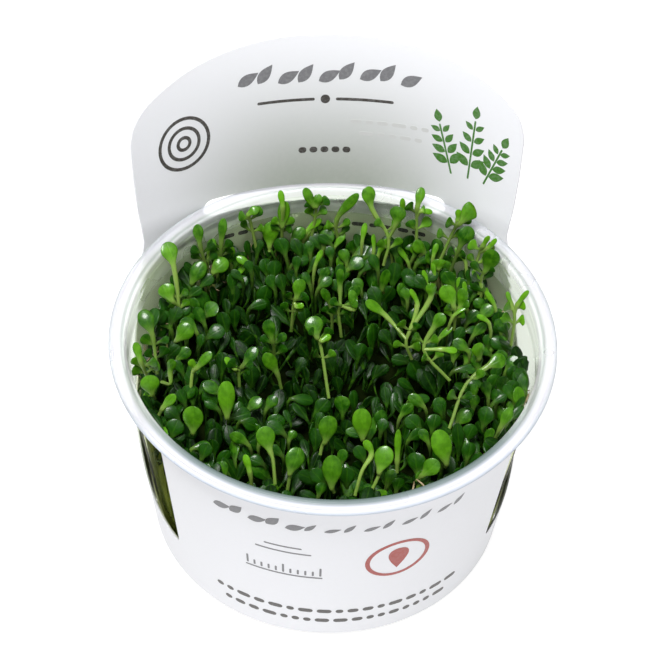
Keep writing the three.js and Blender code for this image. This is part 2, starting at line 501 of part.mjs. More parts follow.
// The shoots: each one's foot, the crown where its leaves part, and each leaf's base, tip and width.
const SHOOTS = {
  left_1: {
    foot: [-34.5, 19], crown: [-34.5, 19, 47],
    leaves: [
      { base: [-35.5, 23, 56], tip: [-37, 26.5, 60.5], width: 4 },
      { base: [-36, 18.5, 49.5], tip: [-38, 20, 53], width: 4.2 },
    ],
  },
  left_2: {
    foot: [-39.5, 0], crown: [-40, 4, 49],
    leaves: [{ base: [-40.5, 5.5, 52.5], tip: [-42.5, 8.5, 57], width: 3.8 }],
  },
  left_3: {
    foot: [-41.5, -1.5],
    leaves: [{ base: [-43, -2.5, 52.5], tip: [-44, -1, 57], width: 2 }],
  },
  left_4: {
    foot: [-32, -5.5], crown: [-31.5, -4, 50],
    leaves: [
      { base: [-31, -3.5, 51], tip: [-32, -4, 54], width: 1.8 },
      { base: [-30.5, -4, 51.5], tip: [-27.5, -3, 55.5], width: 2.2 },
    ],
  },
  left_5: {
    foot: [-38.5, -2.5], crown: [-36.5, -4.5, 47],
    leaves: [{ base: [-36.5, -3, 49], tip: [-36, -3, 53], width: 2.2 }],
  },
  left_6: {
    foot: [-35.5, 10],
    leaves: [{ base: [-35, 8, 47.5], tip: [-32, 8.5, 51.5], width: 4.2 }],
  },
  left_7: {
    foot: [-40, -8],
    leaves: [{ base: [-40.5, -9.5, 49.5], tip: [-41, -9.5, 54.5], width: 4.4 }],
  },
  back_1: {
    foot: [-28, 32],
    leaves: [{ base: [-29.5, 32, 54], tip: [-30, 33, 59], width: 2.6 }],
  },
  back_2: {
    foot: [-24.5, 34.5],
    leaves: [{ base: [-24.5, 34.5, 52], tip: [-24, 36, 58], width: 2.2 }],
  },
  back_3: {
    foot: [-16, 39.5], crown: [-17.5, 40, 53],
    leaves: [{ base: [-18, 39.5, 56], tip: [-16, 39.5, 58], width: 2.2 }],
  },
  back_4: {
    foot: [-10, 40.5], crown: [-10, 40, 51],
    leaves: [
      { base: [-10, 39.5, 52], tip: [-9.5, 40.5, 59], width: 3 },
      { base: [-10, 39.5, 58.5], tip: [-10.5, 40.5, 62.5], width: 1.6 },
    ],
  },
  back_5: {
    foot: [-3, 41.5], crown: [-2, 42, 55.5],
    leaves: [
      { base: [-2.5, 41.5, 56.5], tip: [-4.5, 42, 61.5], width: 2.4 },
      { base: [-2, 41.5, 56.5], tip: [-1.5, 42, 59.5], width: 2.2 },
    ],
  },
  back_6: {
    foot: [-7, 40],
    leaves: [{ base: [-7.5, 39.5, 46], tip: [-5, 40.5, 50], width: 3.2 }],
  },
  back_7: {
    foot: [-13, 38.5],
    leaves: [{ base: [-13, 39, 45], tip: [-12.5, 40, 52], width: 4 }],
  },
  back_8: {
    foot: [-31, 27],
    leaves: [{ base: [-31.5, 26.5, 46.5], tip: [-29, 28, 51.5], width: 3.8 }],
  },
  back_9: {
    foot: [-25.5, 30],
    leaves: [{ base: [-26.5, 29.5, 45], tip: [-23.5, 30.5, 50], width: 3.8 }],
  },
  back_10: {
    foot: [3.5, 41.5],
    leaves: [{ base: [3, 41.5, 52], tip: [7.5, 41.5, 60], width: 2.4 }],
  },
  back_11: {
    foot: [14, 34], crown: [15, 36, 51],
    leaves: [
      { base: [11, 40, 57], tip: [10, 42, 62], width: 3.4 },
      { base: [16.5, 37, 54.5], tip: [17, 38, 59], width: 4 },
      { base: [18, 38.5, 56], tip: [18, 39, 61], width: 1.4 },
    ],
  },
  back_12: {
    foot: [22, 36.5], crown: [21.5, 38, 56],
    leaves: [
      { base: [21.5, 38, 59.5], tip: [22.5, 40, 63.5], width: 2.3 },
      { base: [22.5, 37.5, 58.5], tip: [25, 37, 58.5], width: 1.4 },
    ],
  },
  back_13: {
    foot: [27, 32], crown: [30, 33, 57],
    leaves: [
      { base: [31, 31.5, 60.5], tip: [34.5, 32.5, 65.5], width: 4.2 },
      { base: [30.5, 33, 60], tip: [30.5, 33, 63], width: 1.6 },
    ],
  },
  back_14: {
    foot: [29.5, 29.5],
    leaves: [{ base: [31, 29, 55], tip: [33, 29.5, 60], width: 4.2 }],
  },
  back_15: {
    foot: [34, 25.5], crown: [35.5, 27.5, 54.5],
    leaves: [
      { base: [36, 26.5, 58], tip: [37, 26, 61.5], width: 1.3 },
      { base: [37, 25.5, 58], tip: [38.5, 25, 61.5], width: 1.2 },
    ],
  },
  back_16: {
    foot: [35.5, 22], crown: [36, 23, 52],
    leaves: [{ base: [36.5, 23, 53], tip: [38, 23, 59.5], width: 4.2 }],
  },
  back_17: {
    foot: [22.5, 35],
    leaves: [{ base: [23.5, 35, 46], tip: [21.5, 34, 51], width: 3.2 }],
  },
  back_18: {
    foot: [26.5, 29.5],
    leaves: [{ base: [26.5, 29, 45.5], tip: [26.5, 29, 50.5], width: 3.4 }],
  },
  right_1: {
    foot: [42, 8.5], crown: [42, 9.5, 53],
    leaves: [
      { base: [41, 10.5, 55.5], tip: [40, 10.5, 59], width: 1.3 },
      { base: [42.5, 10, 55.5], tip: [44.5, 10, 60], width: 1.3 },
    ],
  },
  right_2: {
    foot: [18.5, 4], crown: [17, 4.5, 50.5],
    leaves: [
      { base: [22.5, 10.5, 57.5], tip: [22.5, 11, 61.5], width: 2.6 },
      { base: [19.5, 9.5, 56.5], tip: [18, 10.5, 60.5], width: 1.3 },
      { base: [12.5, 9.5, 53], tip: [8, 10.5, 57], width: 2.4 },
    ],
  },
  right_3: {
    foot: [26.5, -4], crown: [20.5, 0, 52],
    leaves: [
      { base: [22.5, 2.5, 56], tip: [24.5, 3, 60], width: 3 },
      { base: [24.5, -0.5, 52.5], tip: [28, -1, 52.5], width: 1.6 },
    ],
  },
  right_4: {
    foot: [25, -19.5], crown: [29, -12, 54],
    leaves: [{ base: [33.5, -9.5, 56.5], tip: [37.5, -8.5, 58.5], width: 3.6 }],
  },
  right_5: {
    foot: [29, 13], crown: [29, 13.5, 49.5],
    leaves: [
      { base: [28.5, 13.5, 51.5], tip: [26, 15, 56.5], width: 4 },
      { base: [30, 14, 50.5], tip: [30.5, 14.5, 55.5], width: 2.8 },
    ],
  },
  right_6: {
    foot: [33, 2],
    leaves: [{ base: [33.5, 1, 47.5], tip: [33, 1, 52], width: 3.2 }],
  },
  middle_1: {
    foot: [-8.5, 16.5], crown: [-8, 17, 50],
    leaves: [
      { base: [-7.5, 17, 51.5], tip: [-6.5, 18, 56], width: 3.2 },
      { base: [-7.5, 16, 49.5], tip: [-6, 15.5, 50.5], width: 1.4 },
    ],
  },
  middle_2: {
    foot: [-1, -7.5], crown: [-3, 1.5, 54],
    leaves: [
      { base: [-3.5, 1.5, 55], tip: [-4.5, 4, 59], width: 4.3 },
      { base: [-2.5, 0.5, 55], tip: [-0.5, 1, 56], width: 1.6 },
    ],
  },
  middle_3: {
    foot: [-13, 6], crown: [-13, 5.5, 47.5],
    leaves: [
      { base: [-13.5, 5.5, 50], tip: [-14.5, 6.5, 55], width: 3 },
      { base: [-12.5, 6, 48.5], tip: [-10.5, 5.5, 51.5], width: 2.2 },
    ],
  },
  middle_4: {
    foot: [-11.5, -2.5],
    leaves: [{ base: [-12.5, -2, 47], tip: [-15, -2, 53], width: 3.2 }],
  },
  middle_5: {
    foot: [3, 14], crown: [2.5, 15, 50.5],
    leaves: [
      { base: [5.5, 13.5, 51], tip: [5, 15, 55.5], width: 2.2 },
      { base: [2.5, 17.5, 53.5], tip: [2.5, 19, 58.5], width: 2 },
    ],
  },
  middle_6: {
    foot: [1, 16.5],
    leaves: [{ base: [0.5, 17, 48.5], tip: [-1.5, 17.5, 53.5], width: 2 }],
  },
  middle_7: {
    foot: [-21, -3.5], crown: [-21, -2.5, 49],
    leaves: [
      { base: [-20, -2.5, 50.5], tip: [-17.5, -1, 54.5], width: 2.8 },
      { base: [-22, -3, 50], tip: [-24, -2.5, 53], width: 1.6 },
    ],
  },
  middle_8: {
    foot: [13.5, 25.5],
    leaves: [{ base: [13, 25, 45], tip: [14, 25.5, 51], width: 2.4 }],
  },
  front_1: {
    foot: [-31.5, -19.5],
    leaves: [{ base: [-31.5, -20, 48.5], tip: [-31.5, -18.5, 55], width: 4.7 }],
  },
  front_2: {
    foot: [-24, -14.5],
    leaves: [{ base: [-24, -15, 47.5], tip: [-24, -12.5, 56], width: 4 }],
  },
  front_3: {
    foot: [-39, -14],
    leaves: [{ base: [-38, -14.5, 50.5], tip: [-35.5, -14.5, 54.5], width: 2.2 }],
  },
  front_4: {
    foot: [-19, -36.5],
    leaves: [{ base: [-19.5, -36, 54.5], tip: [-20.5, -35, 58.5], width: 1.7 }],
  },
  front_5: {
    foot: [-14, -35], crown: [-14.5, -32, 54],
    leaves: [{ base: [-15, -31, 55], tip: [-16.5, -28.5, 60], width: 4.2 }],
  },
  front_6: {
    foot: [-11.5, -38], crown: [-11, -37, 54],
    leaves: [{ base: [-11, -37, 55], tip: [-9, -35, 60], width: 4.3 }],
  },
  front_7: {
    foot: [-4, -28], crown: [-3.5, -27, 52],
    leaves: [{ base: [-3, -27, 53], tip: [-2, -25.5, 59], width: 4.3 }],
  },
  front_8: {
    foot: [-1.5, -38],
    leaves: [{ base: [-2, -38, 51], tip: [-2, -36, 58.5], width: 4.4 }],
  },
  front_9: {
    foot: [3, -39], crown: [4.5, -36.5, 55],
    leaves: [{ base: [6.5, -34, 57], tip: [5, -33, 60.5], width: 1.9 }],
  },
  front_10: {
    foot: [6, -39.5], crown: [8, -37.5, 54.5],
    leaves: [{ base: [8, -37.5, 55.5], tip: [9.5, -35, 60.5], width: 4.2 }],
  },
  front_11: {
    foot: [5.5, -23],
    leaves: [{ base: [5.5, -23.5, 49], tip: [5, -22, 57], width: 4.4 }],
  },
  front_12: {
    foot: [23, -32],
    leaves: [{ base: [23, -32.5, 51.5], tip: [21, -30.5, 59.5], width: 4.6 }],
  },
  front_13: {
    foot: [16.5, -35.5],
    leaves: [{ base: [17.5, -36, 52], tip: [20.5, -35.5, 56], width: 3.8 }],
  },
  front_14: {
    foot: [34.5, -23.5],
    leaves: [{ base: [35.5, -24, 53], tip: [37.5, -22.5, 57.5], width: 2.6 }],
  },
  front_15: {
    foot: [12.5, -32],
    leaves: [{ base: [12.5, -31, 51], tip: [12.5, -29, 59], width: 1.6 }],
  },
};

const model = new THREE.Group();

function addPiece(name, geometry, material) {
  const mesh = new THREE.Mesh(geometry, material);
  mesh.name = name;
  model.add(mesh);
}

addPiece('cup', cup(), CLEAR_PLASTIC);
addPiece('card_sleeve', cardSleeve(), WHITE_CARD);
addPiece('nutrient_gel', nutrientGel(), GEL);
addPiece('plant_mat', plantMat(), UNDERGROWTH);
for (const [name, plan] of Object.entries(SHOOTS)) {
  addPiece(name, shoot(plan), LEAF);
}

export default model;
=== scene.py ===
"""A clear cup of young mat-forming water plants, held in a die-cut card sleeve.

Sizes are in millimetres round the cup's axis, with the base on z = 0 and the front facing -Y.
"""

import json
import logging
import math
import random
from dataclasses import dataclass, field
from enum import Enum

import bmesh
import bpy
import numpy as np
from mathutils import Matrix, Vector
from mathutils.geometry import delaunay_2d_cdt

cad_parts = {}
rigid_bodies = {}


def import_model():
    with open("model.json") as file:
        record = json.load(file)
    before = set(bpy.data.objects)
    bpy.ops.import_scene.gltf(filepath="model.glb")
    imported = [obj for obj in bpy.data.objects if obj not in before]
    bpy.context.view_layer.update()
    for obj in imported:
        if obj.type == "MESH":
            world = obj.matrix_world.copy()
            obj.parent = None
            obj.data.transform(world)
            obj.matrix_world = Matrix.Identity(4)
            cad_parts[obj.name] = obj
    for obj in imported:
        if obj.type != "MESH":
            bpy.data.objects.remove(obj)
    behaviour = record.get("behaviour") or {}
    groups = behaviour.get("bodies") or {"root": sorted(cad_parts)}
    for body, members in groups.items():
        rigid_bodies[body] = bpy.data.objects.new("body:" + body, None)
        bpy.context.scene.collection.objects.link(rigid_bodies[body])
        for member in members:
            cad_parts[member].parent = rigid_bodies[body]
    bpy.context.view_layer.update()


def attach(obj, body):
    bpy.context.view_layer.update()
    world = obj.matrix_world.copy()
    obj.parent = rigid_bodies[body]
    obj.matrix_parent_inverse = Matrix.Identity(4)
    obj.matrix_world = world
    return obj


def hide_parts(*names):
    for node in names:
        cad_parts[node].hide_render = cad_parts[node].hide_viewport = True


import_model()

LOG = logging.getLogger("cup_of_plants")
MM = 0.001
TINY = 1e-6
# How many millimetres one unit of the card's UV map stands for.
MAP_UNIT = 100.0
# The range that most of a noise lies in.
MOST_NOISE = (0.3, 0.7)

Point = tuple[float, float, float]
Flat = tuple[float, float]
Corners = tuple[int, ...]
Colour = tuple[float, float, float]
Ramp = tuple[tuple[float, Colour], ...]
Outline = list[Flat]
Rows = tuple[tuple[float, ...], ...]
Mesh = bpy.types.Mesh
Socket = bpy.types.NodeSocket


def clamp(value: float, low: float, high: float) -> float:
    """Returns value kept between low and high."""
    return min(max(value, low), high)


def ease(value: float) -> float:
    """Returns a soft step that rises from 0 at 0 to 1 at 1."""
    share = clamp(value, 0.0, 1.0)
    return share * share * (3 - 2 * share)


def between(table: list[Flat], at: float) -> float:
    """Reads a table of (place, value) pairs, with straight lines between its rows.

    Args:
        table: The pairs, with rising places.
        at: The place to read.

    Returns:
        The value there, or the first or last one beyond the table's ends.
    """
    places = [row[0] for row in table]
    return float(np.interp(at, places, [row[1] for row in table]))


def centripetal(points: list[Vector], share: float) -> Vector:
    """Finds a place on the smooth curve through some points.

    Args:
        points: The points that the curve passes through, two or more.
        share: How far along, from 0 to 1; each stretch between points counts the same.

    Returns:
        The place.
    """
    stretches = len(points) - 1
    i = min(int(share * stretches), stretches - 1)
    weight = share * stretches - i
    start = points[i]
    end = points[i + 1]
    before = points[i - 1] if i > 0 else start * 2 - end
    after = points[i + 2] if i + 2 <= stretches else end * 2 - start
    middle_step = math.sqrt((end - start).length) or 1.0
    first_step = math.sqrt((start - before).length) or middle_step
    last_step = math.sqrt((after - end).length) or middle_step
    pace = (end - start) / middle_step
    leave = (start - before) / first_step - (end - before) / (first_step + middle_step) + pace
    reach = pace - (after - start) / (middle_step + last_step) + (after - end) / last_step
    leave *= middle_step
    reach *= middle_step
    bend = (end - start) * 3 - leave * 2 - reach
    twist = (start - end) * 2 + leave + reach
    return start + leave * weight + bend * weight**2 + twist * weight**3


def smooth_line(corners: Outline, steps: int) -> Outline:
    """Returns a flat line through the corners with some steps for each stretch."""
    points = [Vector((a, b, 0)) for a, b in corners]
    count = steps * (len(corners) - 1)
    line = [centripetal(points, i / count) for i in range(count + 1)]
    return [(p.x, p.y) for p in line]


def divided(outline: Outline, step: float) -> Outline:
    """Returns a closed outline with its long edges divided into edges no longer than step."""
    line: Outline = []
    for (u, z), (v, w) in zip(outline, outline[1:] + outline[:1]):
        count = max(math.ceil(math.hypot(v - u, w - z) / step), 1)
        line += [(u + (v - u) * i / count, z + (w - z) * i / count) for i in range(count)]
    return line


def slant(degrees: float) -> Flat:
    """Returns the cosine and the sine of an angle."""
    return math.cos(math.radians(degrees)), math.sin(math.radians(degrees))


def directions(count: int) -> list[Flat]:
    """Returns the cosine and the sine of evenly spaced turns that make a full round."""
    turns = [2 * math.pi * i / count for i in range(count)]
    return [(math.cos(turn), math.sin(turn)) for turn in turns]


def round_end(reach: float, radius: float, side: int, steps: int) -> Outline:
    """Returns the half round at one end of a flat bar that is centred on 0."""
    angles = [math.pi * (i / steps - 0.5) for i in range(steps + 1)]
    return [(side * (reach + radius * math.cos(angle)), side * radius * math.sin(angle)) for angle in angles]


def ring_faces(first: int, rings: int, count: int) -> list[Corners]:
    """Returns the faces between rings of points.

    Args:
        first: The number of the first ring's first point.
        rings: How many rings follow one another.
        count: How many points a ring has.

    Returns:
        The faces, which point out where the rings turn left as they climb.
    """
    faces = []
    for start in range(first, first + (rings - 1) * count, count):
        for i in range(count):
            a, b = start + i, start + (i + 1) % count
            faces.append((a, b, b + count, a + count))
    return faces


class Sketch:
    """Short calls that add and join the nodes of a tree."""

    def __init__(self, tree: bpy.types.NodeTree) -> None:
        """Keeps the tree that the calls add to."""
        self.tree = tree

    def add(self, kind: str, inputs: dict | None = None, **settings: object) -> bpy.types.Node:
        """Adds a node.

        Args:
            kind: Blender's name for the kind of node.
            inputs: For each input, by name or place, a number or the socket that feeds it.
            settings: The node's own settings.

        Returns:
            The node.
        """
        node = self.tree.nodes.new(kind)
        for key, value in settings.items():
            setattr(node, key, value)
        for key, value in (inputs or {}).items():
            self.feed(node, key, value)
        return node

    def feed(self, node: bpy.types.Node, key: str | int, value: object) -> None:
        """Sets one input of a node, or joins a socket to it."""
        if isinstance(value, Socket):
            self.tree.links.new(value, node.inputs[key])
        else:
            node.inputs[key].default_value = value

    def math(self, operation: str, *values: object, limit: bool = False) -> Socket:
        """Returns the result of a sum on one to three numbers."""
        node = self.add("ShaderNodeMath", dict(enumerate(values)), operation=operation, use_clamp=limit)
        return node.outputs[0]

    def vector(self, operation: str, *values: object) -> Socket:
        """Returns the result of a sum on one to three vectors."""
        node = self.add("ShaderNodeVectorMath", dict(enumerate(values)), operation=operation)
        return node.outputs[0]

    def times(self, first: object, second: object) -> Socket:
        """Returns the product of two numbers."""
        return self.math("MULTIPLY", first, second)

    def scaled(self, vector: object, factor: object) -> Socket:
        """Returns a vector times a number."""
        return self.add("ShaderNodeVectorMath", {0: vector, "Scale": factor}, operation="SCALE").outputs[0]

    def length(self, vector: object) -> Socket:
        """Returns the length of a vector."""
        return self.add("ShaderNodeVectorMath", {0: vector}, operation="LENGTH").outputs["Value"]

    def parts(self, vector: object) -> list[Socket]:
        """Returns a vector's X, Y and Z."""
        return list(self.add("ShaderNodeSeparateXYZ", {0: vector}).outputs)

    def joined(self, **parts: object) -> Socket:
        """Returns a vector with the X, Y and Z that are given."""
        return self.add("ShaderNodeCombineXYZ", parts).outputs[0]

    def cloud(self, place: object, scale: float, detail: float) -> Socket:
        """Returns cloudy noise with so many clouds a metre."""
        inputs = {"Vector": place, "Scale": scale, "Detail": detail}
        return self.add("ShaderNodeTexNoise", inputs).outputs["Fac"]

    def spread(self, value: object, low: float, high: float, start: float = 0.0, end: float = 1.0) -> Socket:
        """Returns value with low to high turned softly into start to end."""
        inputs = {"Value": value, "From Min": low, "From Max": high, "To Min": start, "To Max": end}
        return self.add("ShaderNodeMapRange", inputs, interpolation_type="SMOOTHSTEP").outputs["Result"]


class Recipe(Sketch):
    """A material that is being put together."""

    def __init__(self, name: str) -> None:
        """Starts a material with its one shader."""
        self.material = bpy.data.materials.new(name)
        self.material.use_nodes = True
        super().__init__(self.material.node_tree)
        self.shader = self.tree.nodes["Principled BSDF"]
        self.place = self.add("ShaderNodeTexCoord").outputs["Object"]

    def set(self, **inputs: object) -> None:
        """Sets or feeds the shader's inputs, with _ for each space in a name."""
        for key, value in inputs.items():
            self.feed(self.shader, key.replace("_", " "), value)

    def attribute(self, name: str) -> Socket:
        """Returns a number that the mesh holds at each of its points."""
        return self.add("ShaderNodeAttribute", attribute_name=name).outputs["Fac"]

    def noise(self, scale: float, detail: float = 2.0, stretch: Point = (1, 1, 1)) -> Socket:
        """Returns cloudy noise in the object's own space, stretched along the axes."""
        mapping = self.add("ShaderNodeMapping", {"Vector": self.place, "Scale": stretch})
        return self.cloud(mapping.outputs[0], scale, detail)

    def ramp(self, factor: object, stops: Ramp) -> Socket:
        """Returns the colour of a ramp at a factor.

        Args:
            factor: The place on the ramp, from 0 to 1.
            stops: The ramp's places and colours, with rising places.

        Returns:
            The colour.
        """
        node = self.add("ShaderNodeValToRGB", {"Fac": factor})
        elements = node.color_ramp.elements
        while len(elements) < len(stops):
            elements.new(0.5)
        for element, (place, colour) in zip(elements, stops):
            element.position = place
            element.color = (*colour, 1.0)
        return node.outputs["Color"]

    def mix(self, factor: object, first: object, second: object) -> Socket:
        """Returns two colours mixed by a factor.

        Args:
            factor: The share of the second colour.
            first: A colour, or the socket that gives it.
            second: The other one.

        Returns:
            The mixed colour.
        """
        node = self.add("ShaderNodeMix", {0: factor}, data_type="RGBA")
        for key, value in ((6, first), (7, second)):
            self.feed(node, key, (*value, 1.0) if isinstance(value, tuple) else value)
        return node.outputs[2]

    def bump(self, height: object, depth: float, strength: float = 1.0) -> None:
        """Gives the surface a fine relief of a depth in millimetres."""
        inputs = {"Height": height, "Distance": depth * MM, "Strength": strength}
        self.set(Normal=self.add("ShaderNodeBump", inputs).outputs["Normal"])


@dataclass(frozen=True)
class Finish:
    """What every finish has: a name, and the one material that is made for it."""

    name: str

    def material(self) -> bpy.types.Material:
        """Returns the finish's material, made on the first call."""
        made = bpy.data.materials.get(self.name)
        if made is None:
            recipe = Recipe(self.name)
            self.draw(recipe)
            made = recipe.material
        return made

    def draw(self, recipe: Recipe) -> None:
        """Puts the finish's nodes into the recipe."""
        raise NotImplementedError


@dataclass(frozen=True)
class ClearPlastic(Finish):
    """Moulded see-through plastic with faint upright flow lines and a trace of haze."""

    tint: Colour = (0.74, 0.79, 0.70)
    transmission: float = 1.0
    index: float = 1.45
    roughness: float = 0.07
    haze_scale: float = 90.0
    haze_change: Flat = (0.6, 1.6)
    flow_scale: float = 160.0
    flow_stretch: Point = (1.0, 1.0, 0.12)
    flow_depth: float = 0.05
    flow_strength: float = 0.5

    def draw(self, recipe: Recipe) -> None:
        """Puts in haze and flow lines."""
        least, most = (self.roughness * change for change in self.haze_change)
        recipe.set(
            Base_Color=(*self.tint, 1.0),
            Transmission_Weight=self.transmission,
            IOR=self.index,
            Roughness=recipe.spread(recipe.noise(self.haze_scale), *MOST_NOISE, least, most),
        )
        if self.flow_depth:
            flow = recipe.noise(self.flow_scale, detail=3.0, stretch=self.flow_stretch)
            recipe.bump(flow, self.flow_depth, self.flow_strength)


@dataclass(frozen=True)
class MilkyPlastic(Finish):
    """The rim's milky plastic, ringed where its thickness changes; its rings also carry painted shade and
    painted glimpses of the plants below, darker in front than at the back, and it is clearer at the back than
    in front.
    """

    inner: float = 45.8
    outer: float = 50.0
    front_shaded_rings: Ramp = (
        (0.0, (0.10, 0.14, 0.13)), (0.16, (0.15, 0.20, 0.19)), (0.34, (0.26, 0.31, 0.32)),
        (0.46, (0.52, 0.55, 0.60)), (0.55, (0.76, 0.77, 0.84)), (0.75, (0.84, 0.84, 0.88)),
        (0.88, (0.75, 0.76, 0.84)), (1.0, (0.58, 0.63, 0.71)),
    )
    back_lit_rings: Ramp = (
        (0.0, (0.92, 0.94, 0.94)), (0.14, (0.94, 0.95, 0.95)), (0.24, (0.60, 0.66, 0.63)),
        (0.38, (0.74, 0.77, 0.75)), (0.52, (0.91, 0.91, 0.94)), (0.78, (0.86, 0.86, 0.91)),
        (0.92, (0.72, 0.75, 0.77)), (1.0, (0.74, 0.77, 0.84)),
    )
    front_to_back: Flat = (-36.0, -14.0)
    transmission: Flat = (0.12, 0.62)
    index: float = 1.05
    roughness: float = 0.35
    haze_scale: float = 90.0
    haze_change: Flat = (0.7, 1.4)
    coat_weight: float = 0.2
    coat_roughness: float = 0.2

    def draw(self, recipe: Recipe) -> None:
        """Puts in the rings, with their painted shade, and a trace of haze."""
        radius = recipe.length(recipe.vector("MULTIPLY", recipe.place, (1.0, 1.0, 0.0)))
        run = (self.outer - self.inner) * MM
        share = recipe.math("DIVIDE", recipe.math("SUBTRACT", radius, self.inner * MM), run, limit=True)
        # Painted shade: the front rings are darker than the back ones, mixed by the place from front to back.
        behind = recipe.spread(recipe.parts(recipe.place)[1], *(edge * MM for edge in self.front_to_back))
        front, back = recipe.ramp(share, self.front_shaded_rings), recipe.ramp(share, self.back_lit_rings)
        least, most = (self.roughness * change for change in self.haze_change)
        recipe.set(
            Base_Color=recipe.mix(behind, front, back),
            Transmission_Weight=recipe.spread(behind, 0.0, 1.0, *self.transmission),
            IOR=self.index,
            Roughness=recipe.spread(recipe.noise(self.haze_scale), *MOST_NOISE, least, most),
            Coat_Weight=self.coat_weight,
            Coat_Roughness=self.coat_roughness,
        )


@dataclass(frozen=True)
class Card(Finish):
    """Coated white card with painted shade on its inner face: soft grey low on the middle of its upright
    back, a greener painted shade and reflection of the plants behind the cup, and a dark painted shadow low
    on the ring.
    """

    white: Colour = (0.80, 0.805, 0.838)
    shade: Colour = (0.33, 0.36, 0.31)
    painted_green_shade: Colour = (0.74, 0.82, 0.58)
    painted_ring_shadow: Colour = (0.15, 0.18, 0.06)
    roughness: float = 0.42
    fibre_depth: float = 0.02

    def draw(self, recipe: Recipe) -> None:
        """Puts in the painted shade, the fibres and the coating."""
        flat = recipe.add("ShaderNodeUVMap", uv_map="unrolled").outputs["UV"]
        split = recipe.add("ShaderNodeSeparateXYZ", {0: flat})
        side = recipe.math("ABSOLUTE", split.outputs[0])
        height = split.outputs[1]
        # Painted shade on the inner face: grey, strongest low in the middle of the header.
        middle = recipe.spread(side, 0.47, 0.05)
        low = recipe.spread(height, 0.98, 0.5)
        on_back = recipe.spread(side, 0.62, 0.5)
        inside = recipe.attribute("inner_face")
        strength = recipe.times(recipe.times(middle, low), recipe.times(on_back, inside))
        upper = recipe.mix(strength, self.white, self.shade)
        # Below the rim, behind the cup: a green painted shade and reflection of the plants, and a dark
        # painted shadow low on the ring.
        behind = recipe.times(recipe.spread(height, 0.51, 0.49), inside)
        ring_shadow_share = recipe.spread(height, 0.24, 0.16)
        base = recipe.mix(behind, upper, recipe.mix(ring_shadow_share, self.painted_green_shade, self.painted_ring_shadow))
        fibre = recipe.noise(900.0, 4.0)
        speck = recipe.noise(2600.0, 2.0)
        tinted = recipe.mix(recipe.spread(fibre, 0.35, 0.75, 0.0, 0.06), base, (0.70, 0.70, 0.68))
        recipe.set(
            Base_Color=tinted,
            Roughness=recipe.spread(speck, *MOST_NOISE, self.roughness, self.roughness + 0.1),
            Coat_Weight=0.12,
            Coat_Roughness=0.25,
        )
        recipe.bump(fibre, self.fibre_depth, 0.35)


@dataclass(frozen=True)
class Ink(Finish):
    """Printing ink, a little uneven where it took on the card."""

    colour: Colour = (0.05, 0.045, 0.04)
    pale: float = 0.25

    def draw(self, recipe: Recipe) -> None:
        """Puts in the uneven cover."""
        cover = recipe.spread(recipe.noise(1500.0, 3.0), 0.35, 0.75)
        lighter = tuple(c + (0.6 - c) * self.pale for c in self.colour)
        fleck = recipe.times(cover, 0.5)
        recipe.set(
            Base_Color=recipe.mix(fleck, self.colour, lighter),
            Roughness=recipe.spread(cover, 0.0, 1.0, 0.34, 0.5),
        )


@dataclass(frozen=True)
class LeafGreen(Finish):
    """Wet young leaf: dark to bright green by its tone, which holds painted shade as well as the leaf's own
    tone, with veins, paling into its stalk.

    Low in the mat a leaf gets painted shade: its tone is darkened below a band of heights, given in
    millimetres with the share of the tone that is left below them.
    """

    deep: Colour = (0.0016, 0.0150, 0.0003)
    middle: Colour = (0.0105, 0.0700, 0.0008)
    bright: Colour = (0.120, 0.345, 0.008)
    stalk: Colour = (0.24, 0.37, 0.07)
    stalk_deep: Colour = (0.010, 0.040, 0.003)
    roughness: float = 0.40
    gloss: Flat = (0.04, 0.5)
    relief: float = 0.06
    painted_shade_heights: tuple[float, float, float] = (37.5, 45.0, 0.30)

    def draw(self, recipe: Recipe) -> None:
        """Puts in the leaf's colours with their painted shade, veins and wet gloss."""
        split = recipe.add("ShaderNodeSeparateXYZ", {0: recipe.place})
        # Painted shade: the tone falls low in the mat, on a height tilted a little from front to back.
        height = recipe.math("ADD", split.outputs[2], recipe.times(split.outputs[1], 0.06))
        low, high, least = self.painted_shade_heights
        tone = recipe.times(recipe.attribute("tone"), recipe.spread(height, low * MM, high * MM, least, 1.0))
        along = recipe.attribute("along")
        side = recipe.math("ABSOLUTE", recipe.attribute("side"))
        mottle = recipe.noise(700.0, 3.0)
        varied = recipe.math("ADD", tone, recipe.spread(mottle, 0.25, 0.75, -0.10, 0.10))
        blade = recipe.ramp(varied, [(0.0, self.deep), (0.5, self.middle), (1.0, self.bright)])
        fan = recipe.math("SUBTRACT", recipe.times(along, 5.0), recipe.times(side, 1.6))
        rib = recipe.math("ABSOLUTE", recipe.math("SINE", recipe.times(fan, math.pi)))
        side_vein = recipe.spread(rib, 0.22, 0.0)
        midrib = recipe.spread(side, 0.16, 0.0)
        vein = recipe.math("MAXIMUM", recipe.times(side_vein, 0.45), midrib)
        veined = recipe.mix(recipe.times(vein, 0.10), blade, self.bright)
        edge = recipe.spread(side, 0.86, 1.0, 0.0, 0.16)
        edged = recipe.mix(edge, veined, self.bright)
        stalk = recipe.mix(recipe.spread(tone, 0.2, 0.95), self.stalk_deep, self.stalk)
        stalky = recipe.mix(recipe.spread(mottle, 0.4, 0.7, 0.0, 0.3), stalk, self.bright)
        colour = recipe.mix(recipe.spread(along, -0.10, 0.52), stalky, edged)
        grain = recipe.noise(2800.0, 2.0)
        recipe.set(
            Base_Color=colour,
            Roughness=recipe.spread(mottle, *MOST_NOISE, self.roughness - 0.06, self.roughness + 0.08),
            Coat_Weight=recipe.spread(tone, 0.20, 0.60, *self.gloss),
            Coat_Roughness=0.17,
            Subsurface_Weight=0.08,
            Subsurface_Radius=(0.4, 1.0, 0.1),
            Subsurface_Scale=0.5 * MM,
            Specular_IOR_Level=0.20,
        )
        recipe.bump(recipe.math("SUBTRACT", recipe.times(grain, 0.7), vein), self.relief, 0.7)


